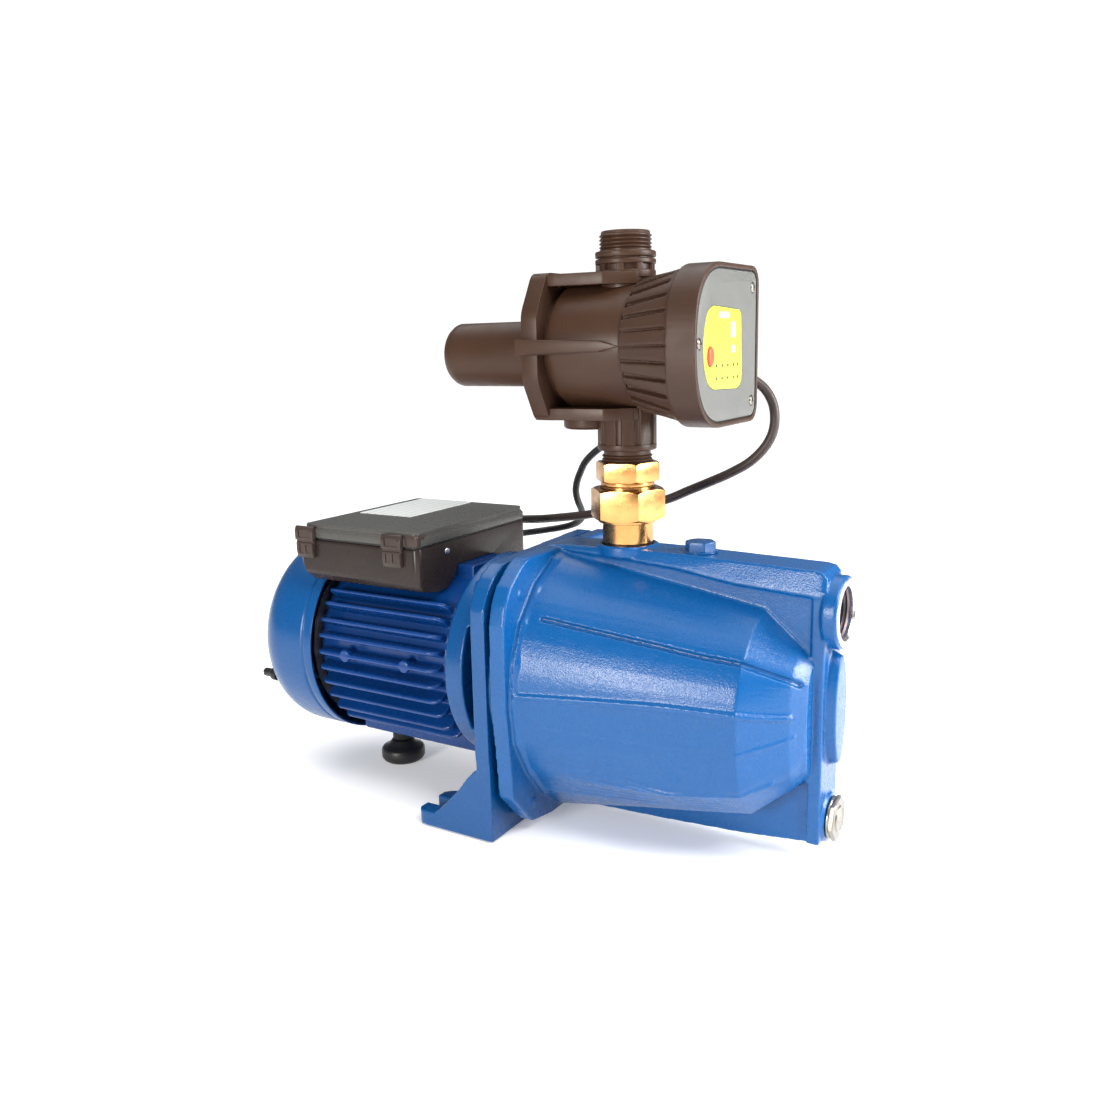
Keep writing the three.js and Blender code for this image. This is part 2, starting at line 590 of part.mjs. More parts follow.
function terminalBoxBase() {
  const { bulge, roomRear, front, halfWidth, seam, skirt, wall } = BOX;
  const side = [
    [bulge, seam], [-143, 182], [-142, 173], [-138, 164], [-133, 158], [-125, skirt], [-125, 150], [front, 150],
    [front, seam],
  ];
  const outer = alongX(baseOutline(0), bulge, front)
    .intersect(alongZ(rounded(bulge, -halfWidth, front, halfWidth, 7), 140, seam))
    .intersect(alongY(side, -halfWidth - 1, halfWidth + 1));
  const inner = alongX(baseOutline(wall), roomRear, front - wall);
  const coverRoom = rod("x", ON_AXIS, bulge - 1, COVER.rim + 1, COVER.radius + 1.2, 40);
  const glands = [BOX_GLANDS.a, BOX_GLANDS.b].map(([x, , z]) => rod("y", [x, 0, z], 60, 70, 5.2, 14));
  const leadHole = rod("z", [-80, 0, 0], 165, 175, 8, 16);
  return cut(outer, inner, coverRoom, leadHole, ...glands);
}

function terminalBoxLid() {
  const { bulge, rear, front, halfWidth, seam, top, wall } = BOX;
  const rim = alongZ(rounded(bulge, -halfWidth, front, halfWidth, 7), seam + 1.2, top - 4);
  const crown = alongZ(rounded(rear + 1, -halfWidth + 1, front - 1, halfWidth - 1, 6), top - 4, top);
  const hollow = alongZ(rounded(rear + 4, -halfWidth + wall, front - wall, halfWidth - wall, 5), seam, top - wall);
  return cut(union(rim, crown), hollow);
}

function lidGasket() {
  const { bulge, roomRear, front, halfWidth, seam } = BOX;
  const outer = alongZ(rounded(bulge + 0.8, -halfWidth + 0.8, front - 0.8, halfWidth - 0.8, 6.4), seam + 0.1,
    seam + 1.1);
  const inner = alongZ(rounded(roomRear, -halfWidth + 2.5, front - 2.5, halfWidth - 2.5, 5), seam - 1, seam + 2);
  return cut(outer, inner);
}

// A snap clip on the near side of the box: a bowed strap with a finger tab below.
function lidClip(x) {
  const { halfWidth } = BOX;
  const y = -halfWidth - GAP;
  const strap = [[y, 175], [y - 2.2, 174], [y - 3.4, 180], [y - 3.4, 192], [y - 1.8, 197.2], [y, 197.2], [y, 175]];
  const body = alongX(strap.slice(0, -1), x - 8.5, x + 8.5);
  const groove = block([x - 9, y - 4, 185.6], [x + 9, y - 2.6, 187.2]);
  return cut(body, groove);
}

const CLIPS_X = [-134.5, -54.5];

function runCapacitor() {
  return turned("x", [0, -18, 183.4], [[-124, 0], [-124, 8.5], [-123, 9.5], [-75, 9.5], [-74, 8.5], [-74, 3.5],
    [-71, 3.5], [-71, 0]], 20);
}

function terminalBlock() {
  const body = block([-62, -34, BOX_FLOOR + GAP], [-46, 8, 181]);
  const wells = [-29, -21, -13, -5, 3].map((y) => rod("z", [-54, y, 0], 176, 182, 2.6, 10));
  return cut(body, ...wells);
}

const BOX_FLOOR = 173.1;

// ---------------------------------------------------------------- leads and their glands
const BOX_GLANDS = { a: [-92, 66.5, 177], b: [-76, 66.5, 166] };
const CONTROL_GLANDS = { a: [131, 46.7, 298], b: [92, 39, 304] };
const GLAND_LENGTH = 20;

// A moulded strain relief that points along +Y and tapers to its cord.
function gland([x, y, z], radius) {
  const profile = [
    [y + GAP, 0], [y + GAP, 8], [y + 4, 8], [y + 4, 7], [y + GLAND_LENGTH, radius + 1.3],
    [y + GLAND_LENGTH, 0],
  ];
  const bore = rod("y", [x, 0, z], y + 6, y + GLAND_LENGTH + 1, radius + GAP, 10);
  return cut(turned("y", [x, 0, z], profile, 14), bore);
}

const CORD_A_ROUTE = [
  [131, 53, 298], [131, 68, 298], [131.6, 76, 297.8], [134.5, 86, 296.2], [139.5, 94, 293], [146, 99, 286.5],
  [151, 101, 277], [152.8, 101, 267], [151.5, 101, 256.5], [146.5, 100.5, 246.5], [136, 100, 235.7],
  [121, 100, 226.8], [105, 100, 219.4], [89.5, 100, 212.7], [72, 100, 205], [56, 100, 200.5], [40, 100, 196.9],
  [22, 100, 193], [5, 100, 189.1], [-10, 100.7, 186.4], [-24, 102.5, 184.1], [-42, 107.5, 181],
  [-58, 112.5, 178.8], [-71, 114.5, 177.5], [-82, 111.5, 177], [-89, 103.5, 177], [-92, 93.5, 177],
  [-92, 84, 177], [-92, 73, 177],
];

const CORD_B_ROUTE = [
  [92, 45, 304], [92, 60, 304], [91, 68, 302.5], [87.5, 75, 298], [82.5, 79.5, 291.5], [76, 81.5, 283.7],
  [66, 82.5, 274.5], [55.5, 84, 265.3], [43, 85, 256.5], [30, 86, 247.6], [20.5, 87.5, 242], [12, 89.5, 236],
  [5.5, 91.5, 230], [0.5, 94, 223], [-4.2, 96.5, 215], [-7.5, 100, 206.5], [-9, 105.5, 198], [-10, 112.5, 190],
  [-13, 119, 183], [-19.5, 124, 177.5], [-28.5, 126.5, 173.5], [-39, 125.5, 170.7], [-50, 122, 168.7],
  [-60.5, 115.5, 167.2], [-69, 107, 166.4], [-74.5, 96.5, 166], [-76, 86, 166], [-76, 73, 166],
];

// ---------------------------------------------------------------- brass union
function unionTail() {
  return turned("z", AT_OUTLET, [
    [176, UNION.bore], [176, UNION.threadRadius], [UNION.tailTop - 2, UNION.threadRadius],
    [UNION.tailTop - 2, 19.4], [UNION.tailTop + 3.5, 19.4], [UNION.tailTop + 3.5, 17.6], [215.5, 17.6],
    [215.5, UNION.bore], [176, UNION.bore],
  ], 28);
}

function unionNut() {
  const body = alongZ(hexagon(25.2, OUTLET_X, 0, rad(13)), UNION.tailTop, UNION.nutTop);
  const chamfer = turned("z", AT_OUTLET, [
    [UNION.tailTop, 0], [UNION.tailTop, 23], [UNION.tailTop + 1.8, 25.5], [UNION.nutTop - 4, 25.5],
    [UNION.nutTop, 21], [UNION.nutTop, 0],
  ], 36);
  const bore = turned("z", AT_OUTLET, [
    [UNION.tailTop - 1, 0], [UNION.tailTop - 1, 19.8], [222.6, 19.8], [222.6, 17.6], [UNION.nutTop + 1, 17.6],
    [UNION.nutTop + 1, 0],
  ], 32);
  return cut(body.intersect(chamfer), bore);
}

function unionEnd() {
  const stem = turned("z", AT_OUTLET, [
    [216.9, UNION.bore], [216.9, 19.4], [222.2, 19.4], [222.2, 17.2], [233.5, 17.2], [233.5, UNION.bore],
    [216.9, UNION.bore],
  ], 28);
  const hex = alongZ(hexagon(21.4, OUTLET_X, 0, rad(13)), 232.7, UNION.swivelTop).intersect(
    turned("z", AT_OUTLET, [[232, 0], [232, 20], [234, 21.5], [243.7, 21.5], [245.2, 20], [245.2, 0]], 28));
  const socket = rod("z", AT_OUTLET, 235.5, 246, NECK.thread + GAP, 28);
  return cut(union(stem, hex), rod("z", AT_OUTLET, 216, 240, UNION.bore, 28), socket);
}

// ---------------------------------------------------------------- plugs in the casing
function primingPlug() {
  const [x, base] = [PRIMING.x, PRIMING.top + GAP];
  const head = alongZ(hexagon(10.6, x, 0, rad(10)), base + 2, base + 7.4).intersect(
    turned("z", [x, 0, 0], [[base, 0], [base, 10.8], [base + 6.2, 10.8], [base + 7.4, 9.4], [base + 7.4, 0]], 28));
  const collar = rod("z", [x, 0, 0], base, base + 2.5, 12, 28);
  const stem = rod("z", [x, 0, 0], 178, base + 1, PRIMING.bore - GAP, 24);
  return union(head, collar, stem);
}

function drainPlug() {
  const face = DRAIN.face + GAP;
  const head = alongX(hexagon(14.5, 0, DRAIN.z, rad(11)), face, face + 6).intersect(
    turned("x", [0, 0, DRAIN.z], [[face, 0], [face, 14.6], [face + 4.6, 14.6], [face + 6, 12.8], [face + 6, 0]],
      28));
  return union(head, rod("x", [0, 0, DRAIN.z], 214, face + 1, DRAIN.bore - GAP, 20));
}

// ---------------------------------------------------------------- pressure controller
const octagon = (half, cornerY, cornerZ) =>
  mirrored([
    [cornerY, CONTROL_Z + half], [half - 2, CONTROL_Z + cornerZ], [half - 2, CONTROL_Z - cornerZ],
    [cornerY, CONTROL_Z - half],
  ]);

function fluted(from, to, radius, flutes, depth) {
  const outline = Array.from({ length: flutes }, (_, i) => {
    const at = (share, reach) => {
      const angle = (2 * Math.PI * (i + share)) / flutes;
      return [OUTLET_X + reach * Math.cos(angle), reach * Math.sin(angle)];
    };
    return [at(0.1, radius - depth), at(0.3, radius), at(0.8, radius)];
  });
  return alongZ(outline.flat(), from, to);
}

function controllerBody() {
  const drum = rod("x", [0, 0, CONTROL_Z], CLAMP.rear, DRUM.front, DRUM.radius, 32);
  const tail = turned("x", [0, 0, TAIL.z], [
    [TAIL.rear, 0], [TAIL.rear, 15], [TAIL.rear + 2, 19], [TAIL.rear + 7, TAIL.radius],
    [TAIL.front, TAIL.frontRadius], [TAIL.front, 0],
  ], 24);
  const clamp = alongX(octagon(CLAMP.half, 31, 22), CLAMP.rear, CLAMP.front);
  const topRib = block([CLAMP.rear, -32, CONTROL_Z + 38], [DRUM.front, 32, CONTROL_Z + CLAMP.half - 1]);
  const bottomRib = block([CLAMP.rear, -32, CONTROL_Z - CLAMP.half - 1], [104, 32, CONTROL_Z - 38]);
  const sideRib = (s) => alongY(
    [[36, 315.5], [36, 322], [104, 319.5], [104, 318]],
    s > 0 ? 36 : -48.5, s > 0 ? 48.5 : -36);
  const ribs = union(topRib, bottomRib, sideRib(1), sideRib(-1));
  const vent = rod("z", [64, 0, 0], 266, 290, 17);
  const neck = union(
    fluted(NECK.bottom, 296, NECK.radius, 9, 0.9),
    turned("z", AT_OUTLET, [
      [NECK.threadBottom, 0], [NECK.threadBottom, 15.6], [NECK.threadBottom + 1.5, NECK.thread],
      [NECK.bottom + 1, NECK.thread], [NECK.bottom + 1, 0],
    ], 24));
  const head = union(
    fluted(340, INLET_TOP.ring - 4, 18.7, 6, 1.6),
    turned("z", AT_OUTLET, [
      [360, 0], [360, 18.8], [INLET_TOP.ring - 1.5, 19], [INLET_TOP.ring - 1.5, 17.4],
      [INLET_TOP.ring, 17.4], [INLET_TOP.ring, 19], [INLET_TOP.ringTop, 19], [INLET_TOP.ringTop, NECK.thread],
      [INLET_TOP.thread - 1.2, NECK.thread], [INLET_TOP.thread, 15.4], [INLET_TOP.thread, 0],
    ], 24));
  const bore = union(
    rod("z", AT_OUTLET, 235, 262, NECK.bore),
    rod("z", AT_OUTLET, 261, 266, 9.5),
    rod("z", AT_OUTLET, 265.5, 390, NECK.bore));
  const room = rod("x", [0, 0, CONTROL_Z], 52, 101, 30);
  const springRoom = rod("x", [0, 0, TAIL.z], TAIL.rear + 3, 60, 18, 20);
  const spider = block([OUTLET_X - 13, -2.2, 300], [OUTLET_X + 13, 2.2, 304]);
  const guide = rod("z", AT_OUTLET, 298, 304, 6.5, 16);
  const carrier = tube("z", AT_OUTLET, 262, 304, 15.2, NECK.bore);
  const seat = rod("y", [CONTROL_GLANDS.b[0], 0, CONTROL_GLANDS.b[2]], 34, CONTROL_GLANDS.b[1], 9.6, 14);
  const frontEnd = block([DRUM.front, -25, 272], [112, 25, 361.3]);
  const shell = cut(union(drum, tail, clamp, ribs, vent, neck, head, seat), frontEnd, bore, room, springRoom);
  const inner = union(carrier, spider, guide);
  return cut(union(shell, inner), rod("z", AT_OUTLET, 290, 310, 3.4, 12), rod("z", AT_OUTLET, 261, 266, 9.5));
}

function flowValve() {
  return turned("z", AT_OUTLET, [
    [266.4, 0], [266.4, 11.6], [269, 11.6], [271, 9], [271, 3], [306, 3], [306, 0],
  ], 24);
}

function flowValveSpring() {
  return spring("z", [OUTLET_X, 0, 0], 271.6, 297.7, 7.2, 0.8, 6);
}

// A coil spring as one tube along a helix.
function spring(axis, at, from, to, radius, wire, turns) {
  const points = [];
  const steps = turns * 8;
  for (let i = 0; i <= steps; i++) {
    const angle = (2 * Math.PI * turns * i) / steps;
    const along = mix(from + wire, to - wire, i / steps);
    const [u, v] = [radius * Math.cos(angle), radius * Math.sin(angle)];
    points.push(axis === "z" ? [at[0] + u, at[1] + v, along] : [along, at[1] + u, at[2] + v]);
  }
  return cord(points, wire, steps, 4);
}

// Outline of the bezel at a given inset, as [y, z] points: a wide arc on one side, corners on the other.
function bezelOutline(half, high, inset = 0) {
  const [w, h] = [half - inset, high - inset];
  const arc = (u, v, r, from, to, steps) =>
    Array.from({ length: steps + 1 }, (_, i) => {
      const angle = rad(mix(from, to, i / steps));
      return [u + (r - inset) * Math.cos(angle), CONTROL_Z - 1 + v + (r - inset) * Math.sin(angle)];
    });
  return [
    ...arc(half - 9, high - 10, 9, 0, 80, 3),
    [-10, CONTROL_Z - 1 + h],
    ...arc(-half + 33, high - 33, 33, 110, 160, 4),
    [-w, CONTROL_Z - 1],
    ...arc(-half + 33, -high + 33, 33, 200, 250, 4),
    [-10, CONTROL_Z - 1 - h],
    ...arc(half - 9, -high + 10, 9, 280, 360, 3),
  ];
}

const around = (count, fn) => Array.from({ length: count }, (_, i) => fn(i, (2 * Math.PI * i) / count));

function frontHousing() {
  const bezel = alongX(bezelOutline(BEZEL.half, BEZEL.high), BEZEL.flareEnd, BEZEL.front);
  const flare = turned("x", [0, 0, CONTROL_Z], [
    [BEZEL.rear, 0], [BEZEL.rear, 41], [BEZEL.rear + 3, 42.3], [BEZEL.flareEnd, 47], [BEZEL.flareEnd + 4, 48],
    [BEZEL.flareEnd + 4, 0],
  ], 40);
  const grooves = around(14, (i, angle) => {
    const tool = new THREE.BoxGeometry(32, 3, 2.6).translate(BEZEL.rear + 17, 44.6, 0).rotateX(angle);
    return solid(tool.translate(0, 0, CONTROL_Z));
  });
  const hollow = rod("x", [0, 0, CONTROL_Z], BEZEL.rear + 3, BEZEL.front - 3, 36, 36);
  const seat = alongX(bezelOutline(BEZEL.half, BEZEL.high, 3.2), BEZEL.front - 4.2, BEZEL.front + 1);
  const [x, y, z] = CONTROL_GLANDS.a;
  const boss = rod("y", [x, 0, z], 30, y, 9.6, 14);
  return cut(union(cut(union(flare, bezel), ...grooves), boss), hollow, seat);
}

const BUTTON = { y: -27.5, z: 311.5 };
const PANEL = { rear: BEZEL.front - 3.9, front: BEZEL.front - 0.6 };

function controllerPanel() {
  const plate = alongX(bezelOutline(BEZEL.half, BEZEL.high, 3.6), PANEL.rear, PANEL.front);
  const recess = alongX(labelOutline(0.3), PANEL.front - 0.9, PANEL.front + 1);
  const hole = alongX(ellipse(BUTTON.y, BUTTON.z, 4.4, 6.1, 20), PANEL.rear - 1, PANEL.front + 1);
  const screws = PANEL_SCREWS.map(([y, z]) => rod("x", [0, y, z], PANEL.rear - 1, PANEL.front + 1, 1.9, 10));
  return cut(plate, recess, hole, ...screws);
}

const PANEL_SCREWS = [[-43.5, CONTROL_Z + 0.5], [40, CONTROL_Z + 34], [40, CONTROL_Z - 36]];

// The label follows the bezel: a bowed side towards the wide arc and a straight side away from it.
function labelOutline(grow = 0) {
  const side = [[22 + grow, 339 + grow], [-24, 340.5 + grow], [-33 - grow, 336], [-37.5 - grow, 326],
    [-38.5 - grow, 316], [-36.5 - grow, 304], [-31 - grow, 294.5], [-23, 291.5 - grow], [18 + grow, 291.5 - grow],
    [22 + grow, 295]];
  return side;
}

function panelLabel() {
  const plate = alongX(labelOutline(), PANEL.front - 0.6, PANEL.front + 0.1);
  return cut(plate, alongX(ellipse(BUTTON.y, BUTTON.z, 4.4, 6.1, 20), PANEL.rear, PANEL.front + 1));
}

function restartButton() {
  const cap = alongX(ellipse(BUTTON.y, BUTTON.z, 4.05, 5.75, 20), PANEL.rear - 1, PANEL.front + 1.6);
  return union(cap, alongX(ellipse(BUTTON.y, BUTTON.z, 6.5, 8, 20), PANEL.rear - 2.2, PANEL.rear - GAP));
}

function panelScrew(y, z) {
  return union(
    turned("x", [0, y, z], [[PANEL.front + GAP, 0], [PANEL.front + GAP, 3.1], [PANEL.front + 1.1, 2.6],
      [PANEL.front + 1.3, 0]], 14),
    rod("x", [0, y, z], PANEL.rear, PANEL.front + 0.5, 1.5, 8));
}

function circuitBoard() {
  const board = rod("x", [0, 0, CONTROL_Z], 126, 127.6, 33, 32);
  const relay = block([127, -8, CONTROL_Z - 2], [141, 20, CONTROL_Z + 15]);
  const plunger = block([127, -31, 306], [142, -22, 317]);
  const terminals = block([112, -16, CONTROL_Z - 24], [126.5, 24, CONTROL_Z - 13]);
  return union(board, relay, plunger, terminals);
}

// ---------------------------------------------------------------- assembly
add("pump_casing", pumpCasing(), BLUE_CAST);
add("motor_bracket", motorBracket(), BLUE_CAST);
add("casing_o_ring", tube("x", ON_AXIS, 37, 40.7, SPIGOT.radius - 0.2, SPIGOT.radius - 5.7, 32), RUBBER);
CASING_BOLTS.forEach(([y, z], i) => add(`casing_bolt_${i + 1}`, casingBolt(y, z), STEEL));
add("impeller", impeller(), BRASS);
add("impeller_nut", cut(alongX(hexagon(8.6, 0, AXIS_Z), 71.6, 77.5), rod("x", ON_AXIS, 70, 78, 5.2, 16)), STEEL);
add("diffuser", diffuser(), WHITE_PLASTIC);
add("venturi_tube", venturiTube(), WHITE_PLASTIC);
add("ejector_nozzle", ejectorNozzle(), BRASS);
add("shaft_seal_seat", tube("x", ON_AXIS, 24.3, 32, 16, 11, 28), CERAMIC);
add("shaft_seal_head", tube("x", ON_AXIS, 32.3, 41, 14.5, SHAFT_RADIUS + GAP, 28), RUBBER);
add("shaft_seal_spring", spring("x", ON_AXIS, 41.3, 55.7, 12, 0.9, 3), STEEL);
add("motor_housing", motorHousing(), NAVY);
add("stator_core", statorCore(), CAST_METAL);
add("stator_winding", statorWinding(), COPPER);
add("rotor_core", rotorCore(), CAST_METAL);
add("motor_shaft", motorShaft(), STEEL);
add("front_bearing", bearing(-8, 4, 20, SHAFT_RADIUS + GAP), STEEL);
add("rear_bearing", bearing(-140.2, -129.5, 17.5, REAR_JOURNAL + GAP), STEEL);
add("rear_end_shield", rearEndShield(), CAST_METAL);
add("cooling_fan", coolingFan(), BLACK_PLASTIC);
add("fan_cover", fanCover(), BLUE_CAST);
COVER_SCREWS.forEach(([y, z], i) => add(`fan_cover_screw_${i + 1}`, coverScrew(y, z), RUBBER));
add("support_foot_pad", supportFootPad(), RUBBER);
add("support_foot_bolt", supportFootBolt(), RUBBER);
add("terminal_box_base", terminalBoxBase(), BLACK_PLASTIC);
add("terminal_box_lid", terminalBoxLid(), BLACK_PLASTIC);
add("lid_gasket", lidGasket(), RUBBER);
CLIPS_X.forEach((x, i) => add(`lid_clip_${i + 1}`, lidClip(x), SMOKE_PLASTIC));
add("rating_label", block([-131, -14, BOX.top + 0.05], [-82, 62, BOX.top + 0.45]), WHITE_PLASTIC);
add("run_capacitor", runCapacitor(), WHITE_PLASTIC);
add("terminal_block", terminalBlock(), WHITE_PLASTIC);
add("box_gland_a", gland(BOX_GLANDS.a, CORD_A.radius), RUBBER);
add("box_gland_b", gland(BOX_GLANDS.b, CORD_B.radius), RUBBER);
add("union_tail", unionTail(), BRASS);
add("union_nut", unionNut(), BRASS);
add("union_end", unionEnd(), BRASS);
add("priming_plug", primingPlug(), BRASS);
add("drain_plug", drainPlug(), STEEL);
add("controller_body", controllerBody(), BROWN_PLASTIC);
add("controller_front_housing", frontHousing(), BROWN_PLASTIC);
add("controller_panel", controllerPanel(), GREY_PLASTIC);
add("panel_label", panelLabel(), YELLOW_LABEL);
PANEL_SCREWS.forEach(([y, z], i) => add(`panel_screw_${i + 1}`, panelScrew(y, z), STEEL));
add("restart_button", restartButton(), RED_RUBBER);
add("flow_valve", flowValve(), WHITE_PLASTIC);
add("flow_valve_spring", flowValveSpring(), STEEL);
add("circuit_board", circuitBoard(), GREEN_BOARD);
add("controller_gland_a", gland(CONTROL_GLANDS.a, CORD_A.radius), RUBBER);
add("controller_gland_b", gland(CONTROL_GLANDS.b, CORD_B.radius), RUBBER);
add("cable_a", cord(CORD_A_ROUTE, CORD_A.radius, 42, 8), RUBBER);
add("cable_b", cord(CORD_B_ROUTE, CORD_B.radius, 46, 8), RUBBER);

export default part;
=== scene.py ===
"""Looks of a shallow well jet pump with a pressure controller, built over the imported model.

Shapes are given in millimetres in the model's frame: +X along the shaft to the suction port, +Z up.
"""

import math

import bmesh
import bpy
from mathutils import Matrix, Vector


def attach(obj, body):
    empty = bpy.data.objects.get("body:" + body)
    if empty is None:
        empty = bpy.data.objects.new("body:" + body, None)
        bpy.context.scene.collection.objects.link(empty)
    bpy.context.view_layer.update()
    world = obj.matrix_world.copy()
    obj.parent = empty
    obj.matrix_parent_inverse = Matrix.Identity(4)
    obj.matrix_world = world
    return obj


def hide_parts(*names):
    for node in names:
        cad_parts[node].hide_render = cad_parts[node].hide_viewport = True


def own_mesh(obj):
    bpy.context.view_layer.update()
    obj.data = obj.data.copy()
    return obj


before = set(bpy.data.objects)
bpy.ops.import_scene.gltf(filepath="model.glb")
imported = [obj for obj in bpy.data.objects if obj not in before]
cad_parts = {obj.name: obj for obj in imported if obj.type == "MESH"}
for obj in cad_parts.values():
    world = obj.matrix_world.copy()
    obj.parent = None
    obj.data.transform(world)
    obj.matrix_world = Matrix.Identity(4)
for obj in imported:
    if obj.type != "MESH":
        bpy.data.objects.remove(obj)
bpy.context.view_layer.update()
MM = 0.001

# ---------------------------------------------------------------- driving dimensions, millimetres
AXIS_Z = 103.5  # shaft height
OUTLET_X = 89.5  # vertical axis of the outlet, the union and the controller
ON_AXIS = (0, 0, AXIS_Z)
AT_OUTLET = (OUTLET_X, 0, 0)

PLATE = (21, 31.5)  # motor bracket plate, rear and front
FLANGE = (36, 47)  # pump casing flange, rear and front
SUCTION_Z = 160.7
AT_SUCTION = (0, 0, SUCTION_Z)
SUCTION_BORE = 15.8
DRAIN_Z = 29
AT_DRAIN = (0, 0, DRAIN_Z)
PRIMING_X = 141
AT_PRIMING = (PRIMING_X, 0, 0)
PIPE_PITCH = 2.309  # of a 1-inch pipe thread

FIN_ANGLES = (-50, -39, -27.5, -17.5, -8, 1.5, 11.5, 21, 31, 39.5)
MOTOR = (-128, -21)  # finned stretch of the barrel
BARREL_RADIUS = 60.5
BARREL_BORE = 56.4
FIN_TIP = 72
COVER_RIM, COVER_REAR, COVER_RADIUS, COVER_ROUND = -131, -193, 75.5, 31
COVER_WALL = 1.6
COVER_SCREWS = [(0, y, 75.5) for y in (-57, 57)]
FOOT_X = -112.5  # the rear support foot

BOX_REAR, BOX_BULGE, BOX_FRONT, BOX_HALF = -138, -143.5, -34, 66.5
BOX_SEAM, BOX_TOP, BOX_SKIRT = 187.5, 198.6, 156.5
CLIP_PLACES = (-134.5, -54.5)

UNION_BORE = 12.5
UNION_TURN = math.radians(13)  # of its two hexagons

CONTROL_Z = 318.5
DRUM = (50, 105)
DRUM_RADIUS = 39.2
TAIL_Z = 314.5
CLAMP = (38.5, 50)
WATERWAY = 12.7  # radius of the bore through the controller
BEZEL_FRONT = 158.5
BEZEL_HALF, BEZEL_HIGH = 50.5, 48.3
VALVE_SPRING = (271.6, 297.7)  # ends of the flow valve's spring

CORD_A_WIDTH, CORD_B_WIDTH = 7.0, 5.6
CORD_PLAY = 0.1  # how far the skin stays inside the model's cord
CORD_A_ROUTE = [
    (131, 53, 298), (131, 68, 298), (131.6, 76, 297.8), (134.5, 86, 296.2), (139.5, 94, 293),
    (146, 99, 286.5), (151, 101, 277), (152.8, 101, 267), (151.5, 101, 256.5), (146.5, 100.5, 246.5),
    (136, 100, 235.7), (121, 100, 226.8), (105, 100, 219.4), (89.5, 100, 212.7), (72, 100, 205),
    (56, 100, 200.5), (40, 100, 196.9), (22, 100, 193), (5, 100, 189.1), (-10, 100.7, 186.4),
    (-24, 102.5, 184.1), (-42, 107.5, 181), (-58, 112.5, 178.8), (-71, 114.5, 177.5), (-82, 111.5, 177),
    (-89, 103.5, 177), (-92, 93.5, 177), (-92, 84, 177), (-92, 73, 177),
]
CORD_B_ROUTE = [
    (92, 45, 304), (92, 60, 304), (91, 68, 302.5), (87.5, 75, 298), (82.5, 79.5, 291.5), (76, 81.5, 283.7),
    (66, 82.5, 274.5), (55.5, 84, 265.3), (43, 85, 256.5), (30, 86, 247.6), (20.5, 87.5, 242),
    (12, 89.5, 236), (5.5, 91.5, 230), (0.5, 94, 223), (-4.2, 96.5, 215), (-7.5, 100, 206.5),
    (-9, 105.5, 198), (-10, 112.5, 190), (-13, 119, 183), (-19.5, 124, 177.5), (-28.5, 126.5, 173.5),
    (-39, 125.5, 170.7), (-50, 122, 168.7), (-60.5, 115.5, 167.2), (-69, 107, 166.4), (-74.5, 96.5, 166),
    (-76, 86, 166), (-76, 73, 166),
]
GLANDS = {
    "box_gland_a": ((-92, 66.5, 177), CORD_A_WIDTH),
    "box_gland_b": ((-76, 66.5, 166), CORD_B_WIDTH),
    "controller_gland_a": ((131, 46.7, 298), CORD_A_WIDTH),
    "controller_gland_b": ((92, 39, 304), CORD_B_WIDTH),
}


def linked(name, data):
    """A new object in the scene."""
    made = bpy.data.objects.new(name, data)
    bpy.context.scene.collection.objects.link(made)
    return made


def set_inputs(node, **values):
    """Constants for a shader node's sockets, by their names with _ for a space."""
    for name, value in values.items():
        node.inputs[name.replace("_", " ")].default_value = value


# ---------------------------------------------------------------- camera, light and floor
def add_camera():
    """The photograph's viewpoint: in front, to the right and a little above."""
    azimuth, pitch, roll = (math.radians(a) for a in (31.65, 11.47, -1.37))
    flat, rise = math.cos(pitch), math.sin(pitch)
    back = Vector((math.sin(azimuth) * flat, -math.cos(azimuth) * flat, rise))
    level = Vector((math.cos(azimuth), math.sin(azimuth), 0))
    up = back.cross(level)
    right = level * math.cos(roll) + up * math.sin(roll)
    above = up * math.cos(roll) - level * math.sin(roll)
    data = bpy.data.cameras.new("camera")
    data.lens = 33.68
    data.sensor_width = 36
    data.clip_end = 50
    camera = linked("camera", data)
    turn = Matrix((right, above, back)).transposed().to_4x4()
    camera.matrix_world = Matrix.Translation(Vector((0.3951, -0.594, 0.3226))) @ turn
    bpy.context.scene.camera = camera


def area_light(name, place, aim, width, height, power, color=(1, 1, 1)):
    data = bpy.data.lights.new(name, "AREA")
    data.shape = "RECTANGLE"
    data.size, data.size_y = width, height
    data.energy = power
    data.color = color
    lamp = linked(name, data)
    lamp.location = place
    lamp.rotation_euler = (Vector(aim) - Vector(place)).to_track_quat("-Z", "Y").to_euler()


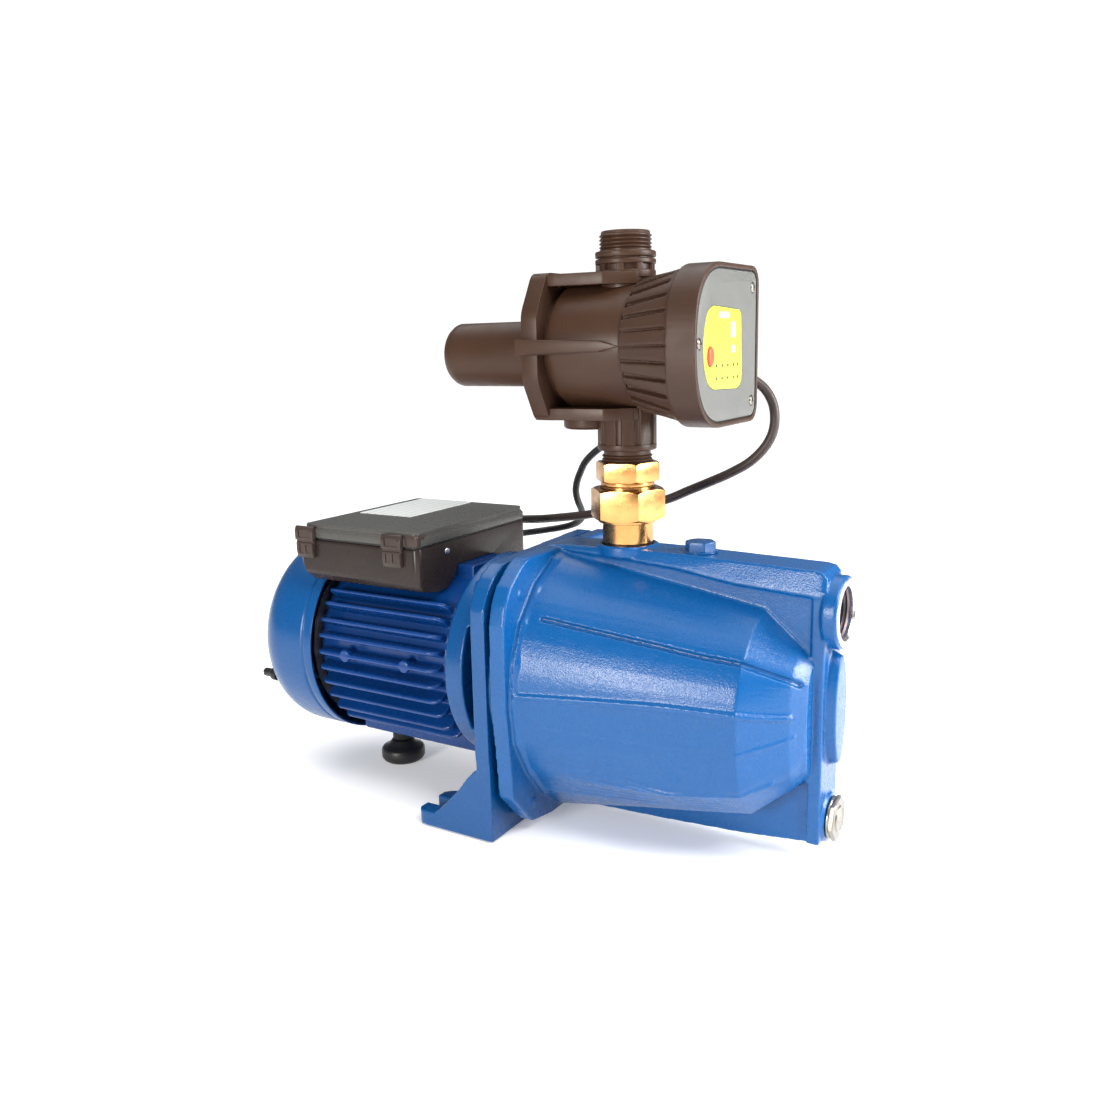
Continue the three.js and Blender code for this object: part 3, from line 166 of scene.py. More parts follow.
def add_studio():
    """A white backdrop over a dimmer room, three softboxes, a wide ceiling light and a pale floor."""
    world = bpy.data.worlds.new("studio")
    bpy.context.scene.world = world
    world.use_nodes = True
    tree = world.node_tree
    room = tree.nodes["Background"]
    set_inputs(room, Color=(0.93, 0.97, 1, 1), Strength=0.24)
    backdrop = tree.nodes.new("ShaderNodeBackground")
    set_inputs(backdrop, Color=(1, 1, 1, 1), Strength=1.05)
    seen = tree.nodes.new("ShaderNodeLightPath")
    pick = tree.nodes.new("ShaderNodeMixShader")
    tree.links.new(seen.outputs["Is Camera Ray"], pick.inputs["Fac"])
    tree.links.new(room.outputs["Background"], pick.inputs[1])
    tree.links.new(backdrop.outputs["Background"], pick.inputs[2])
    tree.links.new(pick.outputs["Shader"], tree.nodes["World Output"].inputs["Surface"])
    area_light("key", (-0.14, -1.42, 0.4), (0.12, 0, 0.13), 0.4, 0.38, 16, (1, 0.945, 0.88))
    area_light("top", (0.95, -0.4, 1.25), (0.15, 0, 0.15), 0.6, 0.6, 16)
    area_light("right", (1.3, 0.4, 0.55), (0.1, 0, 0.15), 0.6, 0.7, 30)
    sun = bpy.data.lights.new("ceiling", "SUN")
    sun.energy = 2.1
    sun.angle = math.radians(70)
    ceiling = linked("ceiling", sun)
    ceiling.rotation_euler = (math.radians(-12), math.radians(-10), 0)
    add_floor()
    bpy.context.scene.view_settings.view_transform = "Standard"


def add_floor():
    """A wide sheet of paper just under the feet, a little brighter than its light makes it."""
    mesh = bpy.data.meshes.new("floor")
    reach = 30
    corners = [(-reach, -reach, 0), (reach, -reach, 0), (reach, reach, 0), (-reach, reach, 0)]
    mesh.from_pydata(corners, [], [(0, 1, 2, 3)])
    floor = linked("floor", mesh)
    floor.location.z = -0.0004
    paper = plain_material("floor_paper", (0.95, 0.95, 0.95), 0.9)
    set_inputs(shader_of(paper), Emission_Color=(1, 1, 1, 1), Emission_Strength=0.25)
    noise_bump(paper, 40, 0.02, 0.0005)
    mesh.materials.append(paper)


# ---------------------------------------------------------------- materials
def shader_of(material):
    return material.node_tree.nodes["Principled BSDF"]


def plain_material(name, color, roughness, metallic=0.0, coat=0.0, coat_roughness=0.1, specular=0.5):
    material = bpy.data.materials.new(name)
    material.use_nodes = True
    set_inputs(shader_of(material), Base_Color=(*color, 1), Roughness=roughness, Metallic=metallic,
               Coat_Weight=coat, Coat_Roughness=coat_roughness, Specular_IOR_Level=specular)
    return material


EVEN = (1, 1, 1)  # no stretch along any axis


def coordinates(tree, stretch=EVEN):
    """Object coordinates, stretched for brushed or drawn surfaces."""
    place = tree.nodes.new("ShaderNodeTexCoord")
    scale = tree.nodes.new("ShaderNodeMapping")
    set_inputs(scale, Scale=stretch)
    tree.links.new(place.outputs["Object"], scale.inputs["Vector"])
    return scale.outputs["Vector"]


def noise(tree, size, detail, stretch):
    """Noise whose features are about size millimetres across."""
    texture = tree.nodes.new("ShaderNodeTexNoise")
    set_inputs(texture, Scale=1 / (size * MM), Detail=detail)
    tree.links.new(coordinates(tree, stretch), texture.inputs["Vector"])
    return texture.outputs["Fac"]


def noise_bump(material, size, strength, depth, detail=3.0, stretch=EVEN):
    """Adds a layer of relief below any that the shader already has."""
    tree = material.node_tree
    bump = tree.nodes.new("ShaderNodeBump")
    set_inputs(bump, Strength=strength, Distance=depth)
    tree.links.new(noise(tree, size, detail, stretch), bump.inputs["Height"])
    normal = shader_of(material).inputs["Normal"]
    if normal.is_linked:
        tree.links.new(normal.links[0].from_socket, bump.inputs["Normal"])
    tree.links.new(bump.outputs["Normal"], normal)


def color_ramp(tree, low, low_color, high, high_color):
    ramp = tree.nodes.new("ShaderNodeValToRGB")
    for stop, place, color in zip(ramp.color_ramp.elements, (low, high), (low_color, high_color)):
        stop.position = place
        stop.color = color
    return ramp


def mottle(material, other, size, share):
    """Varies the base colour between its own and another."""
    tree = material.node_tree
    base = shader_of(material).inputs["Base Color"]
    ramp = color_ramp(tree, 0.5 - share / 2, base.default_value[:], 0.5 + share / 2, (*other, 1))
    tree.links.new(noise(tree, size, 4, EVEN), ramp.inputs["Fac"])
    tree.links.new(ramp.outputs["Color"], base)


def vary_roughness(material, low, high, size):
    tree = material.node_tree
    spread = tree.nodes.new("ShaderNodeMapRange")
    set_inputs(spread, From_Min=0.3, From_Max=0.7, To_Min=low, To_Max=high)
    tree.links.new(noise(tree, size, 4, EVEN), spread.inputs["Value"])
    tree.links.new(spread.outputs["Result"], shader_of(material).inputs["Roughness"])


def enamel(name, color, deep, relief):
    """Thick glossy paint over a cast or pressed surface."""
    made = plain_material(name, color, 0.28, coat=0.42, coat_roughness=0.2, specular=0.16)
    mottle(made, deep, 40, 0.9)
    vary_roughness(made, 0.22, 0.34, 9)
    noise_bump(made, 9, 0.2 * relief, 0.0008, 2)
    noise_bump(made, 0.8, 0.5 * relief, 0.0003, 1)
    shader = shader_of(made)
    made.node_tree.links.new(shader.inputs["Normal"].links[0].from_socket, shader.inputs["Coat Normal"])
    noise_bump(made, 1.4, 0.4 * relief, 0.0004, 1)
    return made


def plastic(name, color, other, roughness, grain=0.5):
    made = plain_material(name, color, roughness, specular=0.22)
    mottle(made, other, 30, 0.7)
    vary_roughness(made, roughness * 0.85, roughness * 1.25, 15)
    noise_bump(made, 0.5, 0.15 * grain, 0.0001, 2)
    noise_bump(made, 14, 0.12, 0.0006, 1)
    return made


def machined(name, color, other, roughness, stretch=EVEN):
    """Turned or cut metal with fine tool marks."""
    made = plain_material(name, color, roughness, metallic=1.0)
    mottle(made, other, 9, 0.7)
    vary_roughness(made, roughness * 0.75, roughness * 1.4, 6)
    noise_bump(made, 0.35, 0.12, 0.00008, 2, stretch)
    noise_bump(made, 3, 0.08, 0.0002, 2)
    return made


def rubber_material(name, color, roughness=0.6):
    made = plain_material(name, color, roughness, specular=0.35)
    mottle(made, tuple(c * 1.6 for c in color), 12, 0.7)
    noise_bump(made, 0.6, 0.25, 0.0001, 3)
    return made


TURNED_X = (8, 1, 1)  # tool marks packed along the shaft
BLUE = enamel("blue_enamel_cast", (0.0025, 0.078, 0.255), (0.002, 0.068, 0.23), 1.0)
BLUE_SMOOTH = enamel("blue_enamel_smooth", (0.002, 0.065, 0.22), (0.0015, 0.056, 0.19), 0.35)
NAVY = enamel("navy_enamel", (0.003, 0.042, 0.19), (0.002, 0.03, 0.14), 0.3)
BRASS = machined("brass", (0.47, 0.225, 0.075), (0.58, 0.32, 0.12), 0.22, (1, 1, 6))
BARE_METAL = machined("bare_machined_iron", (0.62, 0.6, 0.59), (0.48, 0.465, 0.46), 0.28, TURNED_X)
THREAD_IRON = machined("threaded_iron", (0.2, 0.155, 0.145), (0.14, 0.105, 0.095), 0.46, TURNED_X)
NICKEL = machined("nickel_plate", (0.34, 0.32, 0.285), (0.24, 0.22, 0.19), 0.32, TURNED_X)
ZINC_STEEL = machined("zinc_plated_steel", (0.7, 0.71, 0.73), (0.55, 0.56, 0.58), 0.3)
CORE_STEEL = machined("lamination_steel", (0.35, 0.36, 0.38), (0.25, 0.25, 0.27), 0.42, (12, 1, 1))
ALUMINIUM = machined("cast_aluminium", (0.2, 0.2, 0.21), (0.13, 0.13, 0.14), 0.5)
COPPER = machined("varnished_copper", (0.7, 0.27, 0.12), (0.5, 0.17, 0.07), 0.35)
BOX_PLASTIC = plastic("box_plastic", (0.019, 0.0145, 0.0135), (0.026, 0.018, 0.015), 0.26)
LID_PLASTIC = plastic("lid_plastic", (0.07, 0.07, 0.065), (0.06, 0.058, 0.054), 0.26)
CLIP_PLASTIC = plastic("smoky_clip_plastic", (0.03, 0.023, 0.021), (0.06, 0.04, 0.034), 0.14)
CONTROL_PLASTIC = plastic("controller_plastic", (0.05, 0.0235, 0.0135), (0.036, 0.018, 0.011), 0.36)
BEZEL_PLASTIC = plastic("bezel_plastic", (0.05, 0.0265, 0.0175), (0.038, 0.021, 0.0145), 0.38)
PANEL_PLASTIC = plastic("panel_plastic", (0.115, 0.117, 0.11), (0.13, 0.131, 0.124), 0.4, 1.4)
WHITE_PLASTIC = plastic("white_plastic", (0.78, 0.78, 0.74), (0.7, 0.7, 0.66), 0.45)
YELLOW_FILM = plastic("yellow_film", (0.43, 0.47, 0.055), (0.41, 0.45, 0.06), 0.35)
WINDOW_FILM = plastic("pale_window_film", (0.62, 0.68, 0.36), (0.66, 0.72, 0.42), 0.3)
RED_RUBBER = rubber_material("red_button", (0.66, 0.055, 0.02), 0.4)
BLACK_LINE = rubber_material("black_seal_line", (0.008, 0.008, 0.009), 0.5)
BLACK_RUBBER = rubber_material("black_rubber", (0.011, 0.011, 0.012), 0.38)
CORD_SKIN = rubber_material("cord_skin", (0.03, 0.021, 0.018), 0.42)
CORD_SKIN_BLACK = rubber_material("cord_skin_black", (0.014, 0.014, 0.015), 0.42)
BOARD_GREEN = plastic("solder_mask", (0.02, 0.15, 0.06), (0.015, 0.12, 0.05), 0.35)


def label_film():
    """A blank rating plate: pale film with faint ruled bands."""
    made = plain_material("blank_label_film", (0.72, 0.74, 0.72), 0.3)
    tree = made.node_tree
    bands = tree.nodes.new("ShaderNodeTexWave")
    bands.bands_direction = "X"
    set_inputs(bands, Scale=42, Distortion=0)
    ramp = color_ramp(tree, 0.9, (0.74, 0.76, 0.74, 1), 0.96, (0.5, 0.52, 0.52, 1))
    tree.links.new(coordinates(tree), bands.inputs["Vector"])
    tree.links.new(bands.outputs["Fac"], ramp.inputs["Fac"])
    tree.links.new(ramp.outputs["Color"], shader_of(made).inputs["Base Color"])
    noise_bump(made, 6, 0.05, 0.0002)
    return made


LABEL_FILM = label_film()


# ---------------------------------------------------------------- solids, each (points, faces) in millimetres
def placed(axis, at, along, u, v):
    """A point from its distance along an axis and its two offsets from it."""
    x, y, z = at
    if axis == "x":
        return (x + along, y + u, z + v)
    if axis == "y":
        return (x + u, y + along, z + v)
    return (x + u, y + v, z + along)


def lathe(axis, at, profile, sides=96):
    """[along, radius] points turned about an axis; they run from axis to axis, or close on themselves."""
    closed = profile[0] == profile[-1] and profile[0][1] > 0
    points, rings = [], []
    for along, radius in profile[:-1] if closed else profile:
        count = sides if radius > 0 else 1
        rings.append(range(len(points), len(points) + count))
        for i in range(count):
            angle = 2 * math.pi * i / sides
            points.append(placed(axis, at, along, radius * math.cos(angle), radius * math.sin(angle)))
    faces = []
    for a, b in zip(rings, rings[1:] + rings[:1] if closed else rings[1:]):
        for i in range(sides):
            j = (i + 1) % sides
            corners = [a[i % len(a)], a[j % len(a)], b[j % len(b)], b[i % len(b)]]
            face = [c for k, c in enumerate(corners) if c != corners[k - 1]]
            if len(face) > 2:
                faces.append(face)
    return points, faces


def rod(axis, at, start, end, radius, sides=64):
    return lathe(axis, at, [(start, 0), (start, radius), (end, radius), (end, 0)], sides)


def pipe(axis, at, start, end, outer, inner, sides=64):
    wall = [(start, inner), (start, outer), (end, outer), (end, inner), (start, inner)]
    return lathe(axis, at, wall, sides)


def prism(axis, outline, start, end, scale_end=None):
    """An outline extruded along an axis: [y, z] along x, [x, z] along y, [x, y] along z."""
    count = len(outline)
    points = [placed(axis, (0, 0, 0), start, u, v) for u, v in outline]
    points += [placed(axis, (0, 0, 0), end, u, v) for u, v in scale_end or outline]
    faces = [list(range(count)), list(range(2 * count - 1, count - 1, -1))]
    faces += [[i, (i + 1) % count, count + (i + 1) % count, count + i] for i in range(count)]
    return points, faces


def block(low, high):
    (x0, y0, z0), (x1, y1, z1) = low, high
    return prism("z", [(x0, y0), (x1, y0), (x1, y1), (x0, y1)], z0, z1)


def skin(rings):
    """A closed surface through matching rings of points."""
    count = len(rings[0])
    points = [p for ring in rings for p in ring]
    faces = [list(range(count)), list(range(len(points) - 1, len(points) - count - 1, -1))]
    for r in range(len(rings) - 1):
        for i in range(count):
            j = (i + 1) % count
            faces.append([r * count + i, r * count + j, (r + 1) * count + j, (r + 1) * count + i])
    return points, faces


def sweep(path, radius, sides=10):
    """A round bar along a list of points."""
    path = [Vector(p) for p in path]
    rings = []
    side = None
    for i, here in enumerate(path):
        ahead = (path[min(i + 1, len(path) - 1)] - path[max(i - 1, 0)]).normalized()
        if side is None:
            side = ahead.orthogonal().normalized()
        side = (side - ahead * side.dot(ahead)).normalized()
        other = ahead.cross(side)
        width = radius[i] if isinstance(radius, (list, tuple)) else radius
        turns = [2 * math.pi * k / sides for k in range(sides)]
        rings.append([tuple(here + (side * math.cos(a) + other * math.sin(a)) * width) for a in turns])
    return skin(rings)


def mirrored(half):
    """A half outline of [y, z] points, top to bottom on the +Y side, and its mirror image."""
    return list(half) + [(-y, z) for y, z in reversed(half) if abs(y) > 1e-6]


def hexagon(radius, u=0.0, v=0.0, turn=0.0):
    return [(u + radius * math.cos(turn + i * math.pi / 3), v + radius * math.sin(turn + i * math.pi / 3))
            for i in range(6)]


def ellipse(u, v, a, b, count=48):
    return [(u + a * math.cos(2 * math.pi * i / count), v + b * math.sin(2 * math.pi * i / count))
            for i in range(count)]


def rounded(outline, radius, steps=5):
    """Rounds every corner of a convex or concave outline."""
    made = []
    count = len(outline)
    for i, corner in enumerate(outline):
        here = Vector(corner)
        before = Vector(outline[i - 1]) - here
        after = Vector(outline[(i + 1) % count]) - here
        reach = min(radius, before.length * 0.45, after.length * 0.45)
        start = here + before.normalized() * reach
        end = here + after.normalized() * reach
        for k in range(steps + 1):
            t = k / steps
            point = start * (1 - t) ** 2 + here * 2 * t * (1 - t) + end * t * t
            made.append((point.x, point.y))
    return made


def mix(a, b, t):
    return a + (b - a) * t


# ---------------------------------------------------------------- pieces
def raw_object(name, solids):
    mesh = bpy.data.meshes.new(name)
    points, faces = [], []
    for solid_points, solid_faces in solids:
        start = len(points)
        points += [(x * MM, y * MM, z * MM) for x, y, z in solid_points]
        faces += [[start + i for i in face] for face in solid_faces]
    mesh.from_pydata(points, [], faces)
    work = bmesh.new()
    work.from_mesh(mesh)
    bmesh.ops.remove_doubles(work, verts=work.verts, dist=1e-7)
    bmesh.ops.recalc_face_normals(work, faces=work.faces)
    work.to_mesh(mesh)
    work.free()
    return linked(name, mesh)


def bake(made):
    """Applies an object's modifiers to its mesh."""
    graph = bpy.context.evaluated_depsgraph_get()
    mesh = bpy.data.meshes.new_from_object(made.evaluated_get(graph))
    made.modifiers.clear()
    made.data = mesh


def combine(made, tools, operation, every_overlap):
    """Cuts an object with solids, or keeps only what lies inside them."""
    tool = raw_object("tool", tools)
    cutter = made.modifiers.new("cut", "BOOLEAN")
    cutter.operation = operation
    cutter.solver = "EXACT"
    cutter.use_self = every_overlap
    cutter.object = tool
    bake(made)
    bpy.data.objects.remove(tool)


def subtract(made, cuts, every_overlap=True):
    combine(made, cuts, "DIFFERENCE", every_overlap)


def solid_of(made):
    """An object's mesh as plain points and faces again."""
    points = [tuple(v.co / MM) for v in made.data.vertices]
    faces = [list(p.vertices) for p in made.data.polygons]
    bpy.data.objects.remove(made)
    return points, faces


def bevel_edges(made, width, segments, angle):
    edge = made.modifiers.new("edges", "BEVEL")
    edge.width = width * MM
    edge.segments = segments
    edge.limit_method = "ANGLE"
    edge.angle_limit = math.radians(angle)
    bake(made)


def shade_smooth(made):
    made.data.polygons.foreach_set("use_smooth", [True] * len(made.data.polygons))


def shade_to_angle(made, angle):
    shade_smooth(made)
    made.data.set_sharp_from_angle(angle=math.radians(angle))


MOST_TRIANGLES = 150_000  # in one cast piece, enough for its soft corners


def casting(name, adds, cuts=(), voxel=1.1, rounds=6):
    """Solids joined into one skin with soft inner and outer corners, as a sand casting has."""
    made = raw_object(name, adds)
    if cuts:
        subtract(made, cuts)
    remesh = made.modifiers.new("skin", "REMESH")
    remesh.mode = "VOXEL"
    remesh.voxel_size = voxel * MM
    soften = made.modifiers.new("soften", "SMOOTH")
    soften.factor = 0.5
    soften.iterations = rounds
    bake(made)
    thin = made.modifiers.new("thin", "DECIMATE")
    thin.ratio = min(1.0, MOST_TRIANGLES / (2 * len(made.data.polygons)))
    bake(made)
    shade_smooth(made)
    return made


def crisp(name, solids, bevel=0.5, segments=2, angle=35, cuts=()):
    """Moulded or machined solids with small bevelled edges."""
    made = raw_object(name, solids)
    if bevel:
        bevel_edges(made, bevel, segments, angle)
    if cuts:
        subtract(made, cuts)
    shade_to_angle(made, angle)
    return made


def finish_piece(made, material, body="pump", stands_for=()):
    made.data.materials.clear()
    made.data.materials.append(material)
    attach(made, body)
    if stands_for:
        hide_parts(*stands_for)


# ---------------------------------------------------------------- cords and their strain reliefs
def smooth_route(route, per_step=6):
    """Catmull-Rom points through a route, centripetal like the model's."""
    points = [Vector(p) for p in route]
    points = [points[0] * 2 - points[1]] + points + [points[-1] * 2 - points[-2]]
    made = []
    for a, b, c, d in zip(points, points[1:], points[2:], points[3:]):
        t0, t1 = 0.0, math.sqrt((b - a).length)
        t2 = t1 + math.sqrt((c - b).length)
        t3 = t2 + math.sqrt((d - c).length)
        for i in range(per_step):
            t = mix(t1, t2, i / per_step)
            ab = a * ((t1 - t) / (t1 - t0)) + b * ((t - t0) / (t1 - t0))
            bc = b * ((t2 - t) / (t2 - t1)) + c * ((t - t1) / (t2 - t1))
            cd = c * ((t3 - t) / (t3 - t2)) + d * ((t - t2) / (t3 - t2))
            abc = ab * ((t2 - t) / (t2 - t0)) + bc * ((t - t0) / (t2 - t0))
            bcd = bc * ((t3 - t) / (t3 - t1)) + cd * ((t - t1) / (t3 - t1))
            made.append(abc * ((t2 - t) / (t2 - t1)) + bcd * ((t - t1) / (t2 - t1)))
    made.append(Vector(route[-1]))
    return made


def add_cord(name, node, route, width, skin_material):
    line = [p * MM for p in smooth_route(route)]
    data = bpy.data.curves.new(name, "CURVE")
    data.dimensions = "3D"
    data.bevel_depth = (width / 2 - CORD_PLAY) * MM
    data.bevel_resolution = 5
    data.use_fill_caps = True
    spline = data.splines.new("POLY")
    spline.points.add(len(line) - 1)
    for point, place in zip(spline.points, line):
        point.co = (*place, 1)
    made = linked(name, data)
    data.materials.append(skin_material)
    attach(made, "pump")
    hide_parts(node)


def add_glands():
    """Tapered rubber strain reliefs with ribs, all pointing along +Y."""
    ribs, ribs_start, ribs_end = 5, 4.4, 18.2
    step = (ribs_end - ribs_start) / ribs
    for node, (place, width) in GLANDS.items():
        thin = width / 2 + 1.3
        profile = [(0.3, 0), (0.3, 8), (3.4, 8), (4, 7.3)]
        for i in range(ribs):
            near = ribs_start + step * i
            radius = mix(7.0, thin, i / (ribs - 1))
            groove = radius - 1.0
            profile += [(near, radius), (near + step * 0.62, radius - 0.15)]
            profile += [(near + step * 0.7, groove), (near + step * 0.95, groove)]
        profile += [(18.6, thin), (20, thin), (20, 0)]
        made = crisp(node + "_relief", [lathe("y", place, profile, 48)], 0.25)
        skin_material = CORD_SKIN if width == CORD_A_WIDTH else CORD_SKIN_BLACK
        finish_piece(made, skin_material, stands_for=(node,))


# ---------------------------------------------------------------- pump casing
def upper_half(half_width, height, steps=14):
    """The top of a body section from its crown down to the shaft's level."""
    turns = [math.pi / 2 * i / steps for i in range(steps + 1)]
    return [(half_width * math.sin(a), AXIS_Z + height * math.cos(a)) for a in turns]


# Half sections of the casing body along X, each from its crown down to its keel.
BODY_STATIONS = [
    (40, upper_half(82.3, 80.7) + [(82, 98), (80.5, 73.5), (70, 51), (50.5, 26), (26, 7), (0, 4)]),
    (47, upper_half(81.5, 82.5) + [(81.5, 98), (79.5, 73.5), (69, 52), (49.5, 27), (26, 8), (0, 5)]),
    (145, upper_half(69.5, 66.9) + [(69.5, 98), (69, 80), (62, 50), (34, 28), (20, 24), (0, 23)]),
    (190, upper_half(63.2, 59.3) + [(63, 98), (62.2, 82), (57, 58), (34, 36), (20, 33.5), (0, 33)]),
    (214, [(0, 141.5), (12, 141), (20, 138.5), (31, 132), (38, 123), (39.5, 103), (38.8, 85), (37, 68),
           (24, 55), (0, 50)]),
    (221, [(0, 135.5), (10, 134.5), (19, 130.5), (26, 121), (28, 103), (27.5, 85), (26, 70), (17, 60),
           (0, 56)]),
]


def reach_of(half, angle):
    """How far a half outline is from the shaft axis at an angle from the top."""
    ray = Vector((math.sin(angle), math.cos(angle)))
    for (y0, z0), (y1, z1) in zip(half, half[1:]):
        a, b = Vector((y0, z0 - AXIS_Z)), Vector((y1, z1 - AXIS_Z))
        side_a = ray.x * a.y - ray.y * a.x
        side_b = ray.x * b.y - ray.y * b.x
        if side_a >= -1e-9 and side_b <= 1e-9 and side_a != side_b:
            meet = a.lerp(b, side_a / (side_a - side_b))
            return meet.length
    return abs(half[-1][1] - AXIS_Z)


def body_reach(x, angle):
    """Radius of the casing body at a place along the shaft and an angle from the top."""
    for (x0, half0), (x1, half1) in zip(BODY_STATIONS, BODY_STATIONS[1:]):
        if x <= x1:
            return mix(reach_of(half0, angle), reach_of(half1, angle), (x - x0) / (x1 - x0))
    return reach_of(BODY_STATIONS[-1][1], angle)


def body_point(x, angle, lift=0.0):
    """A point on the casing body; negative angles are on the near side."""
    reach = body_reach(x, abs(angle)) + lift
    return (x, reach * math.sin(angle), AXIS_Z + reach * math.cos(angle))


def casing_body():
    angles = [math.pi * i / 48 for i in range(49)]
    rings = []
    for x, half in BODY_STATIONS:
        spread = [(reach_of(half, a) * math.sin(a), AXIS_Z + reach_of(half, a) * math.cos(a)) for a in angles]
        rings.append([(x, y, z) for y, z in mirrored(spread)])
    return skin(rings)


def body_line(stations, lift, radius):
    """A bead or groove along the body through (x, degrees above the horizontal), on both sides."""
    lines = []
    for side in (-1, 1):
        path = []
        for (x0, a0), (x1, a1) in zip(stations, stations[1:]):
            for i in range(8):
                t = i / 8
                path.append(body_point(mix(x0, x1, t), side * math.radians(90 - mix(a0, a1, t)), lift))
        path.append(body_point(stations[-1][0], side * math.radians(90 - stations[-1][1]), lift))
        lines.append(sweep(path, radius, 8))
    return lines


FLANGE_HALF = [
    (0, 187.5), (56, 187.5), (64, 183.5), (77.5, 172.5), (83.5, 162), (86.5, 150), (87.5, 120), (87.5, 95),
    (84.5, 66), (82, 33), (59, 8.5), (35, 4.5), (0, 4.5),
]


def carved(solid, cuts):
    """A solid with others cut away, as plain points and faces again."""
    work = raw_object("work", [solid])
    subtract(work, cuts, False)
    return solid_of(work)


def ridge_beam():
    """The beam on top: upright walls under a sloping shoulder that falls towards the suction port."""
    stations = [
        (FLANGE[0] + 1, 186.4, 16, 188.6), (49, 185.9, 16, 189.3), (100, 183.4, 16.8, 190.2),
        (131, 181, 17.4, 190), (171, 175.1, 18, 188.8), (219, 171.9, 18.2, 187.6), (224, 172, 18, 186.5),
        (227, 172.5, 17.6, 183),
    ]
    rings = []
    for x, low, shoulder, top in stations:
        half = [(14.2, top), (shoulder, low + 1.2), (shoulder, low), (15, low - 0.6), (15, 112), (9.5, 108)]
        rings.append([(x, y, z) for y, z in half] + [(x, -y, z) for y, z in reversed(half)])
    return skin(rings)


def casing_bosses():
    """The suction mouth, the three plug and pipe seats, and the bolt tips on the flange."""
    mouth = [(219.5, 0), (219.5, 17.2), (224, 17.8), (226, 22.4), (233.8, 22.4), (234.8, 21.4), (234.8, 0)]
    made = [
        lathe("x", AT_SUCTION, mouth),
        lathe("z", AT_OUTLET, [(184.5, 0), (184.5, 20), (191, 20), (191.8, 19.2), (191.8, 0)]),
        lathe("z", AT_PRIMING, [(184, 0), (184, 14), (188.6, 14), (189.2, 13), (189.2, 0)]),
        lathe("x", AT_DRAIN, [(219.5, 0), (219.5, 15.5), (228, 15.5), (229, 14.5), (229, 0)]),
    ]
    for side in (-1, 1):
        for y, z in ((65.8, 165.8), (58.5, 21.5)):
            made.append(rod("x", (0, side * y, z), 44, 47.8, 3, 24))
    return made


def body_ridges():
    """The parting line, two creases and the fillet at the flange, which stand a little out of the body."""
    parting = body_line([(50, 0), (145, 4.5), (190, 4.8), (215, 0)], -0.2, 1.9)
    crease = body_line([(60, -14), (145, -17), (190, -17.5), (216, -19)], -1.2, 1.6)
    corner = body_line([(120, -38), (145, -40.5), (190, -41), (206, -45)], -0.9, 2.1)
    fillet = body_line([(49, 89), (49, -60)], -2.2, 4.2)
    return parting + crease + corner + fillet


def pump_casing():
    flange = prism("x", rounded(mirrored(FLANGE_HALF)[1:], 2.5), *FLANGE)
    side = [(42, 3.5), (116, 6), (173, 9), (219, 13.4), (226, 15), (226, 178), (42, 178)]
    web = prism("y", side, -9.5, 9.5)
    face = prism("y", [(219, 16.6), (227, 16.2), (227, 176), (219, 176)], -17.5, 17.5)
    pad = prism("x", ellipse(0, 100, 13.4, 37), 226, 233.4, ellipse(0, 100, 11.8, 34))
    adds = [flange, casing_body(), ridge_beam(), web, face, pad] + casing_bosses() + body_ridges()
    bores = [
        rod("x", AT_SUCTION, 219.8, 240, SUCTION_BORE),
        rod("x", AT_SUCTION, 233.2, 240, SUCTION_BORE + 2),
        rod("z", AT_OUTLET, 185.4, 200, 16.9),
        rod("z", AT_PRIMING, 170, 200, 9.8),
        rod("x", AT_DRAIN, 200, 232, 6.8),
    ]
    groove = body_line([(60, 37), (140, 34), (165, 32.7), (189, 32.7), (218, 31)], -0.9, 1.9)
    made = casting("casing_casting", adds, bores + groove, 0.8, 5)
    finish_piece(made, BLUE, stands_for=("pump_casing",))
    add_suction_ring()


def add_suction_ring():
    """The bare machined face of the suction port, and the darker thread inside it."""
    face = [
        (232.4, 16.4), (234.2, 16.4), (234.2, 20.9), (235.1, 20.9), (235.3, 20.5), (235.3, 17.2),
        (233.9, 15.8), (232.4, 15.8), (232.4, 16.4),
    ]
    made = crisp("suction_port_face", [lathe("x", AT_SUCTION, face)], 0)
    finish_piece(made, BARE_METAL)
    root, crest, half_turn = 15.9, 14.7, 1.15
    threaded = [(219.9, 14.4), (219.9, 16.2), (232.2, 16.4), (232.2, root)]
    x = 232
    while x > 222:
        threaded += [(x, root), (x - half_turn, crest)]
        x -= PIPE_PITCH
    threaded.append(threaded[0])
    made = crisp("suction_port_ring", [lathe("x", AT_SUCTION, threaded)], 0)
    finish_piece(made, THREAD_IRON)


# ---------------------------------------------------------------- motor bracket
PLATE_HALF = [
    (0, 187), (52, 186.8), (60, 183.5), (72.7, 177.3), (80, 169), (85.6, 158), (86, 145), (86, 60),
    (85, 36), (85, 0.5),
]
FOOT_SLOT_Y, FOOT_SLOT_HALF = 66.7, 5.6


def both_feet():
    """One base plate for the two feet, waisted between them."""
    side = [(31.5, 85), (-27, 85), (-31.2, 81), (-31.2, 53), (-26, 48.5), (-17, 45), (-13, 41), (-12, 36)]
    outline = side + [(x, -y) for x, y in reversed(side)]
    return prism("z", rounded(outline, 2.5), 0.6, 10.8)


def slot_cuts():
    """The open slots of the feet, each with a round end."""
    low, high, round_end = -3, 14, -17.5
    cuts = []
    for y in (-FOOT_SLOT_Y, FOOT_SLOT_Y):
        cuts.append(block((-40, y - FOOT_SLOT_HALF, low), (round_end, y + FOOT_SLOT_HALF, high)))
        cuts.append(rod("z", (round_end, y, 0), low, high, FOOT_SLOT_HALF, 32))
    return cuts


